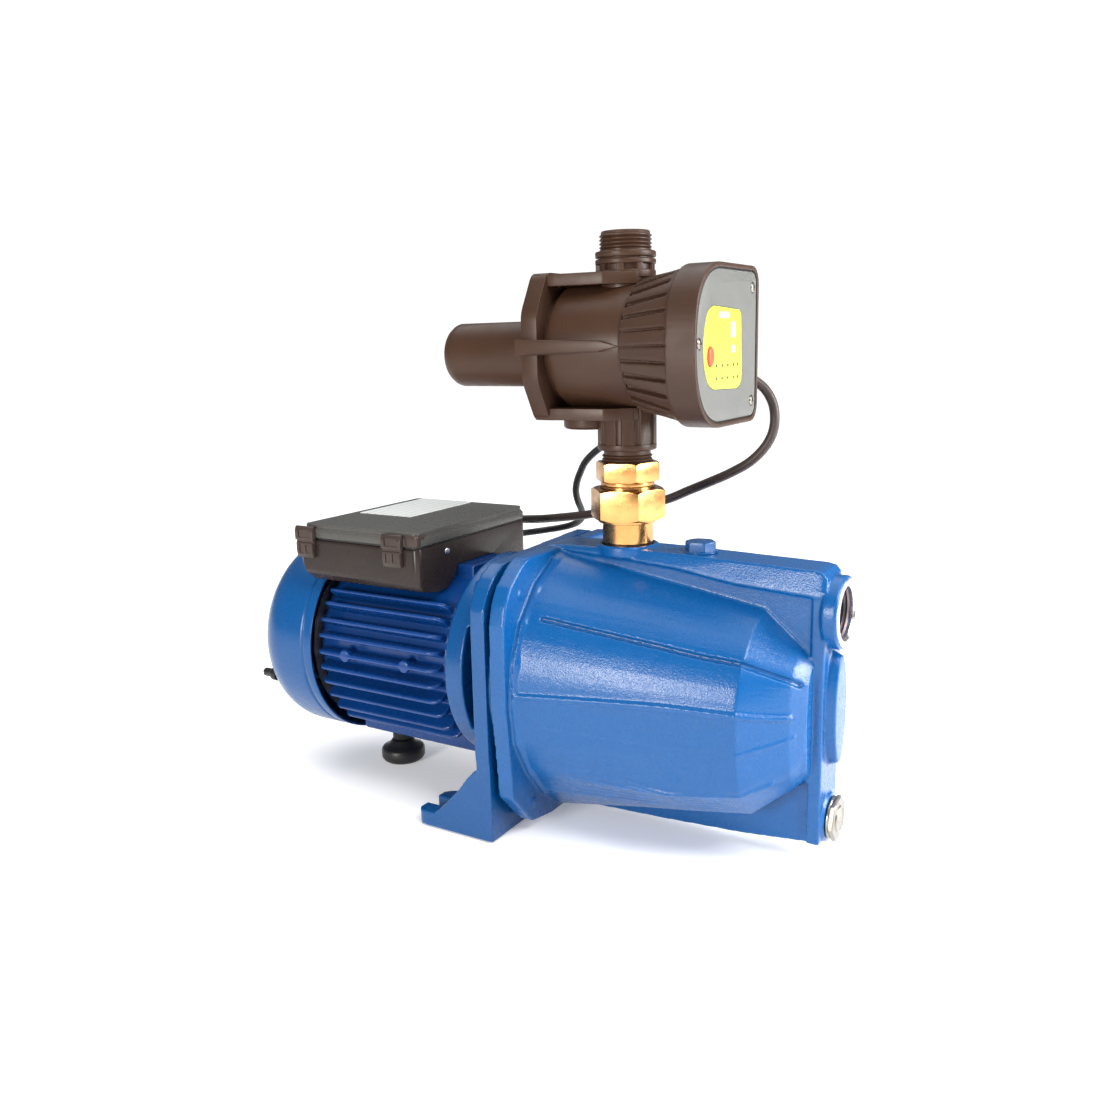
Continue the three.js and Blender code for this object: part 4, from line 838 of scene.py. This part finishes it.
def motor_bracket():
    plate = prism("x", rounded(mirrored(PLATE_HALF)[1:-1], 2.5), *PLATE)
    land = lathe("x", ON_AXIS, [(30, 0), (30, 83), (35.6, 83), (35.6, 0)], 96)
    rim = [(-12, 61.2), (-12, 71), (-11, 72), (17, 72.5), (22, 76), (22, 61.2), (-12, 61.2)]
    collar = lathe("x", ON_AXIS, rim, 128)
    spigot = pipe("x", ON_AXIS, 30, 36.5, 66, 60)
    hub = pipe("x", ON_AXIS, -8, 24, 26, 21)
    wall = pipe("x", ON_AXIS, -3, 3, 64, 20.6)
    gusset = [(24, 2), (-16, 2), (-16, 10.6), (-5, 21), (6, 33), (12, 41), (18, 47.5), (24, 51)]
    webs = [prism("y", gusset, y, y + 7) for y in (-85, -46, 39, 78)]
    step = [(44, 181), (62, 175), (74, 160), (76, 146), (50, 140)]
    steps = [prism("x", rounded([(side * y, z) for y, z in step], 3), 13, 24) for side in (-1, 1)]
    windows = [block((2.5, -95, 66), (20, -40, 139)), block((2.5, 40, 66), (20, 95, 139))]
    bolts = ((-66.5, 166), (66.5, 166), (-60, 26), (60, 26))
    spots = [rod("x", (0, y, z), -5, 21, 9.4, 32) for y, z in bolts]
    adds = [plate, land, collar, spigot, hub, wall] + webs + steps + [both_feet()]
    made = casting("bracket_casting", adds, windows + spots + slot_cuts(), 0.85, 2)
    finish_piece(made, BLUE_SMOOTH, stands_for=("motor_bracket",))


# ---------------------------------------------------------------- motor
def barrel_solids():
    """Fins with rounded tips and ends, on a smooth barrel."""
    rear, front = MOTOR
    stations = [(rear, 3.2), (rear + 1.2, 1.0), (rear + 3.5, 0), (front - 6, 0), (front - 2.5, 1.4)]
    stations.append((front, 5.0))
    solids = [pipe("x", ON_AXIS, rear - 5.5, -7.8, BARREL_RADIUS, BARREL_BORE, 128)]
    for angle in FIN_ANGLES:
        for side in (-1, 1):
            turn = math.radians(angle)
            out = Vector((0, side * math.cos(turn), math.sin(turn)))
            across = Vector((0, -out.z, out.y))
            rings = []
            for x, cut in stations:
                tip = FIN_TIP - cut
                half = [(57.5, 3), (BARREL_RADIUS + 1, 2.3), (tip - 1, 1.5), (tip, 0.8)]
                section = [(r, -w) for r, w in half] + half[::-1]
                rings.append([(x, *(out * r + across * w + Vector((0, 0, AXIS_Z))).yz) for r, w in section])
            solids.append(skin(rings))
    return solids


def motor_housing():
    solids = barrel_solids()
    solids.append(prism("x", [(-21.5, 150), (21.5, 150), (21.5, 169.4), (-21.5, 169.4)], *MOTOR))
    rail = [(-27, 60), (27, 60), (27.2, 41), (26, 33), (24, 31.3), (-24, 31.3), (-26, 33), (-27.2, 41)]
    solids.append(prism("x", rail, MOTOR[0] + 1, MOTOR[1] + 1))
    for x in (-102, -48):
        for start, end in ((-71.6, -58), (58, 71.6)):
            solids.append(rod("y", (x, 0, AXIS_Z + 2), start, end, 4.4, 32))
    bore = rod("x", ON_AXIS, MOTOR[0] - 8, -6, BARREL_BORE, 96)
    made = casting("motor_housing_fins", solids, [bore], 0.75, 2)
    finish_piece(made, NAVY, stands_for=("motor_housing",))


def cover_arc(radius, start, end):
    """The rounded edge of the fan cover, from one angle to another."""
    steps = 14
    angles = [math.radians(mix(start, end, i / steps)) for i in range(steps + 1)]
    rear, middle = COVER_REAR + COVER_ROUND, COVER_RADIUS - COVER_ROUND
    return [(rear - radius * math.cos(a), middle + radius * math.sin(a)) for a in angles]


def cover_slots():
    """Nine rows of round-ended slots that fill a circle, each row parted in the middle."""
    grille, pitch = 44, 9
    cuts = []
    for row in range(-4, 5):
        z = AXIS_Z + row * pitch
        half = math.sqrt(grille**2 - (row * pitch) ** 2)
        for side in (-1, 1):
            low, high = sorted((side * 3, side * half))
            outline = rounded([(low, z - 2), (high, z - 2), (high, z + 2), (low, z + 2)], 1.9, 4)
            cuts.append(prism("x", outline, COVER_REAR - 2, COVER_REAR + 6))
    return cuts


def fan_cover():
    """A pressed cup with a rolled rim bead, a slotted back and dimples for its screws."""
    outer = [(COVER_REAR, 0)] + cover_arc(COVER_ROUND, 0, 90)
    outer += [
        (-141.5, COVER_RADIUS), (-140.2, COVER_RADIUS - 0.2), (-139.2, COVER_RADIUS - 1.2),
        (-138.2, COVER_RADIUS - 0.2), (-137, COVER_RADIUS), (COVER_RIM + 0.6, COVER_RADIUS),
        (COVER_RIM, COVER_RADIUS - 0.6),
    ]
    inside = COVER_RADIUS - COVER_WALL
    inner = [(COVER_RIM, inside), (-145, inside)] + cover_arc(COVER_ROUND - COVER_WALL, 90, 0)
    shell = lathe("x", ON_AXIS, outer + inner + [(COVER_REAR + COVER_WALL, 0)], 160)
    cuts = cover_slots() + [rod("x", place, COVER_REAR - 3, -184, 8.2, 48) for place in COVER_SCREWS]
    made = crisp("fan_cover_shell", [shell], 0.35, 2, 40, cuts)
    finish_piece(made, BLUE_SMOOTH, stands_for=("fan_cover",))


def fan_cover_seats():
    """The walls of the screws' dimples, cut off just below the cover's skin."""
    cup = [(-184, 3), (-184, 8.1), (-190, 8.15), (-190, 8.9), (-182.6, 8.9), (-182.6, 3), (-184, 3)]
    seats = crisp("fan_cover_screw_seats", [lathe("x", place, cup, 48) for place in COVER_SCREWS], 0)
    under, behind = 0.3, COVER_REAR - 20
    outside = [(behind, 0), (behind, 120), (COVER_RIM, 120), (COVER_RIM, COVER_RADIUS - under)]
    outside += cover_arc(COVER_ROUND - under, 90, 0) + [(COVER_REAR + under, 0)]
    subtract(seats, [lathe("x", ON_AXIS, outside)], False)
    finish_piece(seats, BLUE_SMOOTH)


def fan_cover_screws():
    """Slotted heads on long threaded shanks that reach into the cover."""
    profile = [
        (-198.9, 0), (-198.9, 2.6), (-198.3, 3.2), (-190.2, 3.4), (-189.6, 4.8), (-188.6, 5.2),
        (-184.3, 5.2), (-184.3, 2.2), (-138, 2.2), (-138, 0),
    ]
    for number, place in enumerate(COVER_SCREWS, 1):
        y, z = place[1:]
        slots = [block((-200, y - 3.6, z - 0.5), (-197.4, y + 3.6, z + 0.5))]
        made = crisp(f"fan_cover_screw_head_{number}", [lathe("x", place, profile, 40)], 0.2, cuts=slots)
        finish_piece(made, BLACK_RUBBER, stands_for=(f"fan_cover_screw_{number}",))


# ---------------------------------------------------------------- support foot
def support_foot():
    """A round rubber pad on a threaded stem with a hexagon."""
    pad = [
        (0, 0), (0, 14.2), (1, 15.6), (3, 16.9), (5, 17), (9, 16.9), (10.6, 16), (11.8, 13.5), (13.5, 10.4),
        (16.4, 8.6), (16.4, 3.8), (10, 3.8), (10, 0),
    ]
    made = crisp("support_foot_rubber", [lathe("z", (FOOT_X, 0, 0), pad, 72)], 0.3)
    finish_piece(made, BLACK_RUBBER, stands_for=("support_foot_pad",))
    stem = [
        (10.3, 0), (10.3, 3.4), (17, 3.4), (17, 7), (18, 7.6), (30.4, 7.6), (31, 7), (31, 3), (39.8, 3),
        (39.8, 0),
    ]
    hexagonal = prism("z", hexagon(8.2, FOOT_X, 0, 0.3), 21, 26.5)
    made = crisp("support_foot_stem", [lathe("z", (FOOT_X, 0, 0), stem, 48), hexagonal], 0.4)
    finish_piece(made, BLACK_RUBBER, stands_for=("support_foot_bolt",))


# ---------------------------------------------------------------- terminal box
def plan(x0, y0, x1, y1, radius=5.5, steps=6):
    """A rectangle with rounded corners."""
    return rounded([(x0, y0), (x1, y0), (x1, y1), (x0, y1)], radius, steps)


def box_layer(rear, inset, radius, low, high):
    """A flat layer of the terminal box, from a place at its rear and inset from its other sides."""
    return prism("z", plan(rear, inset - BOX_HALF, BOX_FRONT - inset, BOX_HALF - inset, radius), low, high)


def terminal_box():
    """The base: a hollow tray whose skirts hang beside the motor's top pad."""
    half = [
        (BOX_HALF, BOX_SEAM), (BOX_HALF, 163.5), (62, 157.5), (45, 154.6), (35, 155.5), (27, 161),
        (22.5, 169.8), (0, 169.8),
    ]
    tray = prism("x", rounded(mirrored(half), 2.2, 4), BOX_BULGE, BOX_FRONT)
    made = raw_object("terminal_box_tray", [tray])
    rear = [
        (BOX_BULGE, BOX_SEAM), (-143.2, 182), (-142, 173), (-138, 164), (-133, 158), (-125, BOX_SKIRT),
        (-125, 140), (-220, 140), (-220, BOX_SEAM),
    ]
    outside = prism("y", [(x - 0.01, z) for x, z in rear], -80, 80)
    around = prism("z", plan(-260, -160, 60, 160, 2), 140, BOX_SEAM + 2)
    corners = carved(around, [box_layer(BOX_BULGE, 0, 5.5, 100, 220)])
    room = block((-126, -63.5, 173.2), (-37, 63.5, 200))
    cover_room = rod("x", ON_AXIS, -160, COVER_RIM + 1, COVER_RADIUS + 1.2, 96)
    subtract(made, [outside, cover_room, room])
    subtract(made, [corners], False)
    bevel_edges(made, 0.7, 3, 38)
    shade_to_angle(made, 38)
    finish_piece(made, BOX_PLASTIC, stands_for=("terminal_box_base",))
    head = [(0.1, 0), (0.1, 2.3), (0.5, 2.2), (0.8, 1.4), (0.9, 0)]
    screw = crisp("box_side_screw", [lathe("x", (BOX_FRONT, -34.5, 181.5), head, 24)], 0)
    finish_piece(screw, ZINC_STEEL)
    seal = box_layer(BOX_BULGE + 1.2, 1.2, 5, BOX_SEAM + 0.1, BOX_SEAM + 1.1)
    gasket = crisp("lid_seal", [seal], 0, cuts=[block((-127, -63, 180), (-37, 63, 195))])
    finish_piece(gasket, BLACK_LINE, stands_for=("lid_gasket",))


def terminal_lid():
    """A shallow lid with a stepped rim, a raised flat top and a post at one corner."""
    rim = box_layer(BOX_BULGE + 0.3, 0, 5, BOX_SEAM + 1.3, BOX_TOP - 4.2)
    step = box_layer(BOX_REAR - 1.6, 0.6, 5, BOX_SEAM + 2, BOX_TOP - 3)
    crown = box_layer(BOX_REAR, 1.4, 4.5, BOX_SEAM + 2, BOX_TOP)
    room = box_layer(BOX_REAR + 4, 3.2, 4, BOX_SEAM - 2, BOX_TOP - 2.6)
    made = crisp("terminal_lid_shell", [rim, step, crown], 0.8, 3, 38, [room])
    finish_piece(made, LID_PLASTIC, "box_lid", ("terminal_box_lid",))
    x, y = BOX_FRONT - 0.2, -BOX_HALF + 0.2
    post = prism("z", plan(x - 11.5, y - 0.5, x + 0.1, y + 10, 2, 4), BOX_SEAM + 1.6, BOX_TOP - 1.6)
    made = crisp("lid_corner_post", [post], 0.7, 3)
    finish_piece(made, CLIP_PLASTIC, "box_lid")
    sheet = prism("z", plan(-131, -14, -82, 62, 1.2, 3), BOX_TOP + 0.02, BOX_TOP + 0.3)
    made = crisp("blank_rating_plate", [sheet], 0)
    finish_piece(made, LABEL_FILM, "box_lid", ("rating_label",))


def lid_clips():
    """Smoky snap clips: a bowed upper half, a waist and a ribbed lower half."""
    y = -BOX_HALF - 0.3
    bow = [(y, 187.2), (y - 3.2, 186.9), (y - 3.4, 193.5), (y - 2.2, 197), (y, 197.2)]
    hook = [(y, 175), (y - 2.2, 174.2), (y - 3.4, 179), (y - 3.3, 185.6), (y, 185.8)]
    neck = [(y, 184), (y - 2.3, 184), (y - 2.3, 188), (y, 188)]
    for number, x in enumerate(CLIP_PLACES, 1):
        upper = prism("x", rounded(bow, 0.9, 3), x - 8.5, x + 8.5)
        lower = prism("x", rounded(hook, 0.9, 3), x - 7.6, x + 7.6)
        waist = prism("x", neck, x - 8, x + 8)
        windows = [block((x - 5.6, y - 4, 189), (x + 5.6, y - 2.6, 194.6))]
        windows += [block((x + left, y - 4, 177.5), (x + left + 4, y - 2.7, 184)) for left in (-5, 1)]
        made = crisp(f"snap_clip_{number}", [upper, lower, waist], 0.35, 2, 35, windows)
        finish_piece(made, CLIP_PLASTIC, f"clip_{number}", (f"lid_clip_{number}",))


# ---------------------------------------------------------------- brass union and plugs
def hex_bar(axis, at, radius, start, end, turn, chamfer):
    """A hexagon whose corners are turned off at both ends."""
    made = raw_object("hex", [prism(axis, hexagon(radius, *at, turn), start, end)])
    low, slope = radius - chamfer, chamfer * 0.58
    turned = [
        (start - 1, 0), (start - 1, low - 0.6), (start, low), (start + slope, radius + 0.1),
        (end - slope, radius + 0.1), (end, low), (end + 1, low - 0.6), (end + 1, 0),
    ]
    centre = {"x": (0, *at), "z": (*at, 0)}[axis]
    combine(made, [lathe(axis, centre, turned)], "INTERSECT", False)
    return solid_of(made)


def brass_union():
    tail = [
        (185.6, UNION_BORE), (185.6, 16.3), (192.4, 16.3), (192.9, 16.6), (205.6, 16.6), (206, 17.4),
        (206, 19.3), (211.3, 19.3), (211.3, 17.5), (215.4, 17.5), (215.4, UNION_BORE), (185.6, UNION_BORE),
    ]
    made = crisp("union_tail_turned", [lathe("z", AT_OUTLET, tail)], 0.25, 2, 30)
    finish_piece(made, BRASS, stands_for=("union_tail",))
    nut = hex_bar("z", (OUTLET_X, 0), 25.0, 208.05, 228, UNION_TURN, 2.6)
    bores = [rod("z", AT_OUTLET, 200, 222.6, 19.9), rod("z", AT_OUTLET, 200, 240, 17.8)]
    made = crisp("union_nut_hex", [nut], 0.5, 3, 25, bores)
    finish_piece(made, BRASS, "union_nut", ("union_nut",))
    stem = [
        (217, UNION_BORE), (217, 19.3), (222.1, 19.3), (222.1, 17.1), (229.6, 17.1), (230.4, 17.6),
        (232.2, 17.6), (233, 17.1), (236, 17.1), (236, UNION_BORE), (217, UNION_BORE),
    ]
    swivel = hex_bar("z", (OUTLET_X, 0), 21.2, 232.9, 245.2, UNION_TURN, 1.6)
    socket = rod("z", AT_OUTLET, 235.6, 250, 16.7)
    made = crisp("union_swivel_end", [lathe("z", AT_OUTLET, stem), swivel], 0.4, 2, 25, [socket])
    finish_piece(made, BRASS, stands_for=("union_end",))


def casing_plugs():
    """Each plug's profiles run from the face that it seats on."""
    seat = 189.3
    washer = [(-11.3, 0), (-11.3, 9.1), (0, 9.1), (0, 10.6), (0.4, 11), (1.2, 11), (1.6, 10.4), (1.6, 0)]
    head = hex_bar("z", (PRIMING_X, 0), 9.9, seat + 1, seat + 7.2, math.radians(10), 0.8)
    made = crisp("priming_plug_painted", [head, lathe("z", (PRIMING_X, 0, seat), washer, 64)], 0.45, 3, 25)
    finish_piece(made, BLUE_SMOOTH, "priming_plug", ("priming_plug",))
    seat = 229.4
    washer = [(-14.4, 0), (-14.4, 6.1), (0, 6.1), (0, 13), (0.4, 13.4), (1.2, 13.4), (1.7, 12.9), (1.7, 0)]
    crown = [(3.6, 0), (3.6, 8.8), (5.4, 8.2), (5.7, 7.6), (5.2, 6.6), (5.2, 0)]
    head = hex_bar("x", (0, DRAIN_Z), 14.4, seat + 1.6, seat + 4.9, math.radians(11), 1.4)
    turned = [lathe("x", (seat, 0, DRAIN_Z), profile, 64) for profile in (washer, crown)]
    made = crisp("drain_plug_hex", [head] + turned, 0.35, 2, 25)
    finish_piece(made, NICKEL, "drain_plug", ("drain_plug",))


# ---------------------------------------------------------------- pressure controller
def thread(start, end, radius, depth=1.1):
    """Profile points of a pipe thread on a turned part."""
    root = radius - depth
    points = []
    along = start
    while along + PIPE_PITCH <= end:
        points += [(along, root), (along + PIPE_PITCH * 0.42, radius), (along + PIPE_PITCH * 0.58, radius)]
        along += PIPE_PITCH
        points.append((along, root))
    return points


def fluted_outline(radius, flutes, depth, share):
    """A round neck with lands between flutes; share is the part of each step that is land."""
    root = radius - depth
    outline = []
    for i in range(flutes):
        for part, reach in ((0.0, radius), (share, radius), (share + 0.08, root), (0.92, root)):
            angle = 2 * math.pi * (i + part) / flutes
            outline.append((OUTLET_X + reach * math.cos(angle), reach * math.sin(angle)))
    return outline


def plate_along(low, high, half_rear, half_front, x_front):
    """A flat plate tangent to the drum, narrower towards the front, from heights above the drum's axis."""
    half = [(CLAMP[0] + 0.4, half_rear), (54, half_rear), (88, half_front), (x_front, 12)]
    outline = half + [(x, -y) for x, y in reversed(half)]
    return prism("z", rounded(outline, 2, 3), CONTROL_Z + low, CONTROL_Z + high)


def side_rib(side):
    """A pointed rib at axis height that tapers from the clamp to the front housing."""
    inner, thick, thin = 30, 48.6, 40.6
    outline = [(36.5, 313.8), (36.5, 323.9), (60, 323.3), (92, 322), (104.5, 318.6), (92, 315.8), (60, 314.6)]
    points, faces = prism("y", outline, *sorted((side * inner, side * thick)))
    tapered = []
    for x, y, z in points:
        if abs(y) > inner + 1:
            y = side * mix(thick, thin, max(0.0, (x - 50) / 54))
        tapered.append((x, y, z))
    return tapered, faces


def controller_body():
    """The drum with its clamp, tail, plates and ribs, a neck below and a threaded head above."""
    drum = [
        (44, 0), (44, 36.4), (DRUM[0] + 3.6, 36.4), (DRUM[0] + 4.4, 38.9), (58, DRUM_RADIUS),
        (DRUM[1] - 2, DRUM_RADIUS), (DRUM[1] - 0.1, 38.6), (DRUM[1] - 0.1, 0),
    ]
    tail = [
        (-43, 0), (-43, 14.5), (-42.2, 17), (-40.6, 19.2), (-38, 21), (-34.5, 22), (-32, 22.2), (44, 23.6),
        (44, 0),
    ]
    octagon = mirrored([(y, CONTROL_Z + z) for y, z in ((30, 46), (44, 21), (44, -21), (30, -46))])
    solids = [
        lathe("x", (0, 0, CONTROL_Z), drum, 128),
        prism("x", rounded(octagon, 5, 6), *CLAMP),
        lathe("x", (0, 0, TAIL_Z), tail, 128),
        lathe("z", (62, 0, 0), [(266, 0), (266, 15.5), (267.5, 17), (279, 17), (279, 0)], 64),
    ]
    solids += controller_necks()
    solids += [side_rib(1), side_rib(-1)]
    solids += [plate_along(37.5, 44.8, 30, 27, 104.5), plate_along(-45.4, -38, 31, 28, 104)]
    cuts = [block((-46, -25, TAIL_Z + z), (38, 25, TAIL_Z + z + 8.8)) for z in (21.2, -30)]
    cuts += [rod("z", AT_OUTLET, 240, 275, WATERWAY - 0.1), rod("z", AT_OUTLET, 330, 395, WATERWAY - 0.1)]
    made = crisp("controller_casing", solids, 0.7, 3, 32, cuts)
    finish_piece(made, CONTROL_PLASTIC, stands_for=("controller_body",))
    add_controller_threads()


def controller_necks():
    """The fluted neck below the drum, and the fluted and ringed head above it."""
    neck_foot = [(253, 0), (253, 18.4), (253.8, 19.1), (257, 19.1), (257, 0)]
    head_base = [(360, 0), (360, 18.9), (364.2, 18.9), (364.8, 18.2), (364.8, 0)]
    rings = [
        (368.2, 0), (368.2, 18.6), (368.8, 19), (371, 19), (371.4, 18.6), (371.4, 17.2), (372.4, 17.2),
        (372.4, 18.7), (372.9, 19), (375.6, 19), (376.2, 18.4), (376.2, 0),
    ]
    return [
        prism("z", fluted_outline(19.1, 10, 1.5, 0.62), 256.5, 280),
        lathe("z", AT_OUTLET, neck_foot),
        prism("z", fluted_outline(18.8, 9, 2.6, 0.3), 360, 368.6),
        lathe("z", AT_OUTLET, head_base),
        rod("z", AT_OUTLET, 350, 372, 16.4),
        lathe("z", AT_OUTLET, rings),
    ]


def add_controller_threads():
    """The male threads under the neck and on top of the head."""
    lower = [(236.2, WATERWAY), (236.2, 15.2)] + thread(236.4, 252, 16.3)
    lower += [(252.6, 15.2), (253.4, 15.2), (253.4, WATERWAY), (236.2, WATERWAY)]
    upper = [(374, WATERWAY), (374, 16.2), (377.2, 16.2)] + thread(377.4, 387.2, 16.4, 1.2)
    upper += [(387.6, 15.4), (388.4, 14.8), (388.4, WATERWAY), (374, WATERWAY)]
    made = crisp("controller_threads", [lathe("z", AT_OUTLET, profile) for profile in (lower, upper)], 0)
    finish_piece(made, CONTROL_PLASTIC)


BEZEL_CENTRE = CONTROL_Z - 1
BEZEL_FLAT = -10  # the near half of the outline is bowed from here on
BEZEL_BOW = 2.4  # exponent of the bowed half: 2 is an ellipse, more is squarer


def bezel_outline(inset=0.0, steps=40):
    """The front's outline: bowed towards -Y, with two tight corners towards +Y, as [y, z] points."""
    w, h = BEZEL_HALF - inset, BEZEL_HIGH - inset
    bowed = []
    for i in range(steps + 1):
        angle = math.pi / 2 + math.pi * i / steps
        c, s = math.cos(angle), math.sin(angle)
        out = (w + BEZEL_FLAT) * abs(c) ** (2 / BEZEL_BOW)
        rise = h * math.copysign(abs(s) ** (2 / BEZEL_BOW), s)
        bowed.append((BEZEL_FLAT - out, BEZEL_CENTRE + rise))
    corners = []
    for v, start in ((-h + 11 - inset, 270), (h - 11 + inset, 0)):
        for i in range(9):
            angle = math.radians(start + 90 * i / 8)
            corners.append((w - 11 + inset + (11 - inset) * math.cos(angle),
                            BEZEL_CENTRE + v + (11 - inset) * math.sin(angle)))
    return bowed + corners


def front_housing():
    """A ribbed funnel that opens from the round drum to the D-shaped bezel."""
    outline = bezel_outline()
    middle = Vector((0, 0, CONTROL_Z))

    def ring_at(x, t):
        ring = []
        for y, z in outline:
            out = Vector((y, z - CONTROL_Z))
            point = (out.normalized() * 41.4).lerp(out * 0.985, t)
            ring.append((x, point.x, CONTROL_Z + point.y))
        return ring

    funnel = skin([ring_at(105.3, 0), ring_at(107, 0.04), ring_at(139, 0.86), ring_at(145, 1)])
    band = prism("x", outline, 139.5, BEZEL_FRONT)
    grooves = []
    count = 30
    for i in range(count):
        angle = 2 * math.pi * i / count
        steep = abs(math.sin(angle)) ** 1.5
        depth = mix(0.9, 5.6, steep)
        width = mix(0.9, 3.2, steep)
        end = mix(138.5, 131, steep)
        out = Vector((0, math.cos(angle), math.sin(angle)))
        across = Vector((0, -out.z, out.y))
        stations = [
            (104, 41.4 - depth, width), (109, 42 - depth, width), (end, 46.6 - 0.2 * depth, width * 0.75),
            (end + 2.6, 52, width * 0.5),
        ]
        rings = []
        for x, low, wide in stations:
            corners = [(low, -wide), (62, -wide * 1.1), (62, wide * 1.1), (low, wide)]
            rings.append([tuple(Vector((x, 0, 0)) + middle + out * r + across * w) for r, w in corners])
        grooves.append(skin(rings))
    seat = prism("x", bezel_outline(3.0), BEZEL_FRONT - 3.6, BEZEL_FRONT + 2)
    boss = rod("y", (131, 0, 298), 30, 46.6, 9.6, 48)
    made = casting("front_housing_shell", [funnel, band, boss], grooves + [seat], 0.7, 2)
    finish_piece(made, BEZEL_PLASTIC, stands_for=("controller_front_housing",))


PANEL_FRONT = BEZEL_FRONT - 0.5
PANEL_SCREWS = ((-43.5, CONTROL_Z + 0.5), (40, CONTROL_Z + 34), (40, CONTROL_Z - 36))
LABEL_OUTLINE = [
    (21.5, 339), (-24, 341), (-32, 337.5), (-37, 327), (-38.3, 316), (-36.5, 304.5), (-31, 295.5),
    (-23, 292), (17, 291), (22.5, 294.5), (23.5, 300),
]
LABEL_PANES = ((-6.5, 335.5, 8, 1.8), (8, 327, 4, 4.6), (8.5, 315.5, 3.2, 2.2))  # y, z and half sizes


def on_panel(outline, low, high):
    """An outline extruded between two depths from the panel's face."""
    return prism("x", outline, PANEL_FRONT + low, PANEL_FRONT + high)


def button_outline(half_width, half_height):
    return ellipse(-27.5, 311.5, half_width, half_height)


def front_panel():
    seal = crisp("panel_seal", [on_panel(bezel_outline(3.1), -3.1, -0.9)], 0)
    finish_piece(seal, BLACK_LINE)
    wells = [rod("x", (PANEL_FRONT, y, z), -0.7, 2, 3.6, 32) for y, z in PANEL_SCREWS]
    wells.append(on_panel(rounded(LABEL_OUTLINE, 5, 4), -0.55, 2))
    button_hole = on_panel(button_outline(4.5, 6.2), -2, 2)
    made = crisp("grey_panel", [on_panel(bezel_outline(4.0), -3.2, 0)], 0.3, 2, 30, wells + [button_hole])
    finish_piece(made, PANEL_PLASTIC, stands_for=("controller_panel",))
    shrink, middle = 0.985, CONTROL_Z - 2
    inside = [(y * shrink, middle + (z - middle) * shrink) for y, z in LABEL_OUTLINE]
    made = crisp("yellow_label", [on_panel(rounded(inside, 5, 4), -0.6, 0.08)], 0.12, 2, 30, [button_hole])
    finish_piece(made, YELLOW_FILM, stands_for=("panel_label",))
    panes = [on_panel(plan(y - w, z - h, y + w, z + h, 0.8, 3), -0.2, 0.16) for y, z, w, h in LABEL_PANES]
    finish_piece(crisp("label_windows", panes, 0), WINDOW_FILM)
    spots = [(y, z) for y in (-18, -9, 0, 9, 16) for z in (306, 298.5)]
    lamps = [on_panel(ellipse(y, z, 0.9, 0.9, 20), -0.2, 0.2) for y, z in spots]
    finish_piece(crisp("indicator_dots", lamps, 0), BLACK_LINE)


def panel_screws():
    """Low heads with crossed slots."""
    profile = [(-2.4, 0), (-2.4, 1.5), (-0.6, 1.5), (-0.6, 3), (0.1, 3), (0.9, 2.2), (1.15, 0)]
    for number, (y, z) in enumerate(PANEL_SCREWS, 1):
        head = lathe("x", (PANEL_FRONT, y, z), profile, 40)
        slots = []
        for wide, high in ((2, 0.4), (0.4, 2)):
            low = (PANEL_FRONT + 0.4, y - wide, z - high)
            slots.append(block(low, (PANEL_FRONT + 2, y + wide, z + high)))
        made = crisp(f"panel_screw_head_{number}", [head], 0.12, cuts=slots)
        finish_piece(made, NICKEL, stands_for=(f"panel_screw_{number}",))


def restart_button():
    """An oval cap with a low dome, and the flange that keeps it behind the panel."""
    rings = []
    for rise, size in ((-4, 1.0), (0.7, 1.0), (1.3, 0.86), (1.5, 0.6)):
        rings.append([(PANEL_FRONT + rise, y, z) for y, z in button_outline(4.05 * size, 5.75 * size)])
    flange = on_panel(button_outline(6.4, 7.9), -5.3, -3.8)
    made = crisp("red_restart_button", [skin(rings), flange], 0.15)
    finish_piece(made, RED_RUBBER, "restart_button", ("restart_button",))


def flow_valve_spring():
    """A coil under the controller's neck, made at one fixed length; the real spring shortens as the valve
    lifts.
    """
    low, high = VALVE_SPRING
    coil, wire, turns = 7.2, 0.8, 6
    steps = 24 * turns
    path = []
    for i in range(steps + 1):
        angle = 2 * math.pi * turns * i / steps
        along = mix(low + wire, high - wire, i / steps)
        path.append((OUTLET_X + coil * math.cos(angle), coil * math.sin(angle), along))
    made = crisp("flow_valve_coil", [sweep(path, wire, 12)], 0)
    finish_piece(made, ZINC_STEEL, stands_for=("flow_valve_spring",))
    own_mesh(made)


# ---------------------------------------------------------------- finishes of the parts that stay as modelled
INNER_FINISHES = (
    (BLACK_RUBBER, "casing_o_ring shaft_seal_head cooling_fan"),
    (BRASS, "impeller ejector_nozzle"),
    (ZINC_STEEL, "impeller_nut shaft_seal_spring motor_shaft front_bearing rear_bearing"),
    (WHITE_PLASTIC, "diffuser venturi_tube shaft_seal_seat run_capacitor terminal_block flow_valve"),
    (CORE_STEEL, "stator_core rotor_core"),
    (COPPER, "stator_winding"),
    (ALUMINIUM, "rear_end_shield"),
    (BOARD_GREEN, "circuit_board"),
    (BLUE_SMOOTH, "casing_bolt_1 casing_bolt_2 casing_bolt_3 casing_bolt_4"),
)


def paint_inner_parts():
    for material, names in INNER_FINISHES:
        for name in names.split():
            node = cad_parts[name]
            node.data.materials.clear()
            node.data.materials.append(material)


add_camera()
add_studio()
add_cord("motor_lead", "cable_a", CORD_A_ROUTE, CORD_A_WIDTH, CORD_SKIN)
add_cord("second_lead", "cable_b", CORD_B_ROUTE, CORD_B_WIDTH, CORD_SKIN_BLACK)
add_glands()
pump_casing()
motor_bracket()
motor_housing()
fan_cover()
fan_cover_seats()
fan_cover_screws()
support_foot()
terminal_box()
terminal_lid()
lid_clips()
brass_union()
casing_plugs()
controller_body()
front_housing()
front_panel()
panel_screws()
restart_button()
flow_valve_spring()
paint_inner_parts()
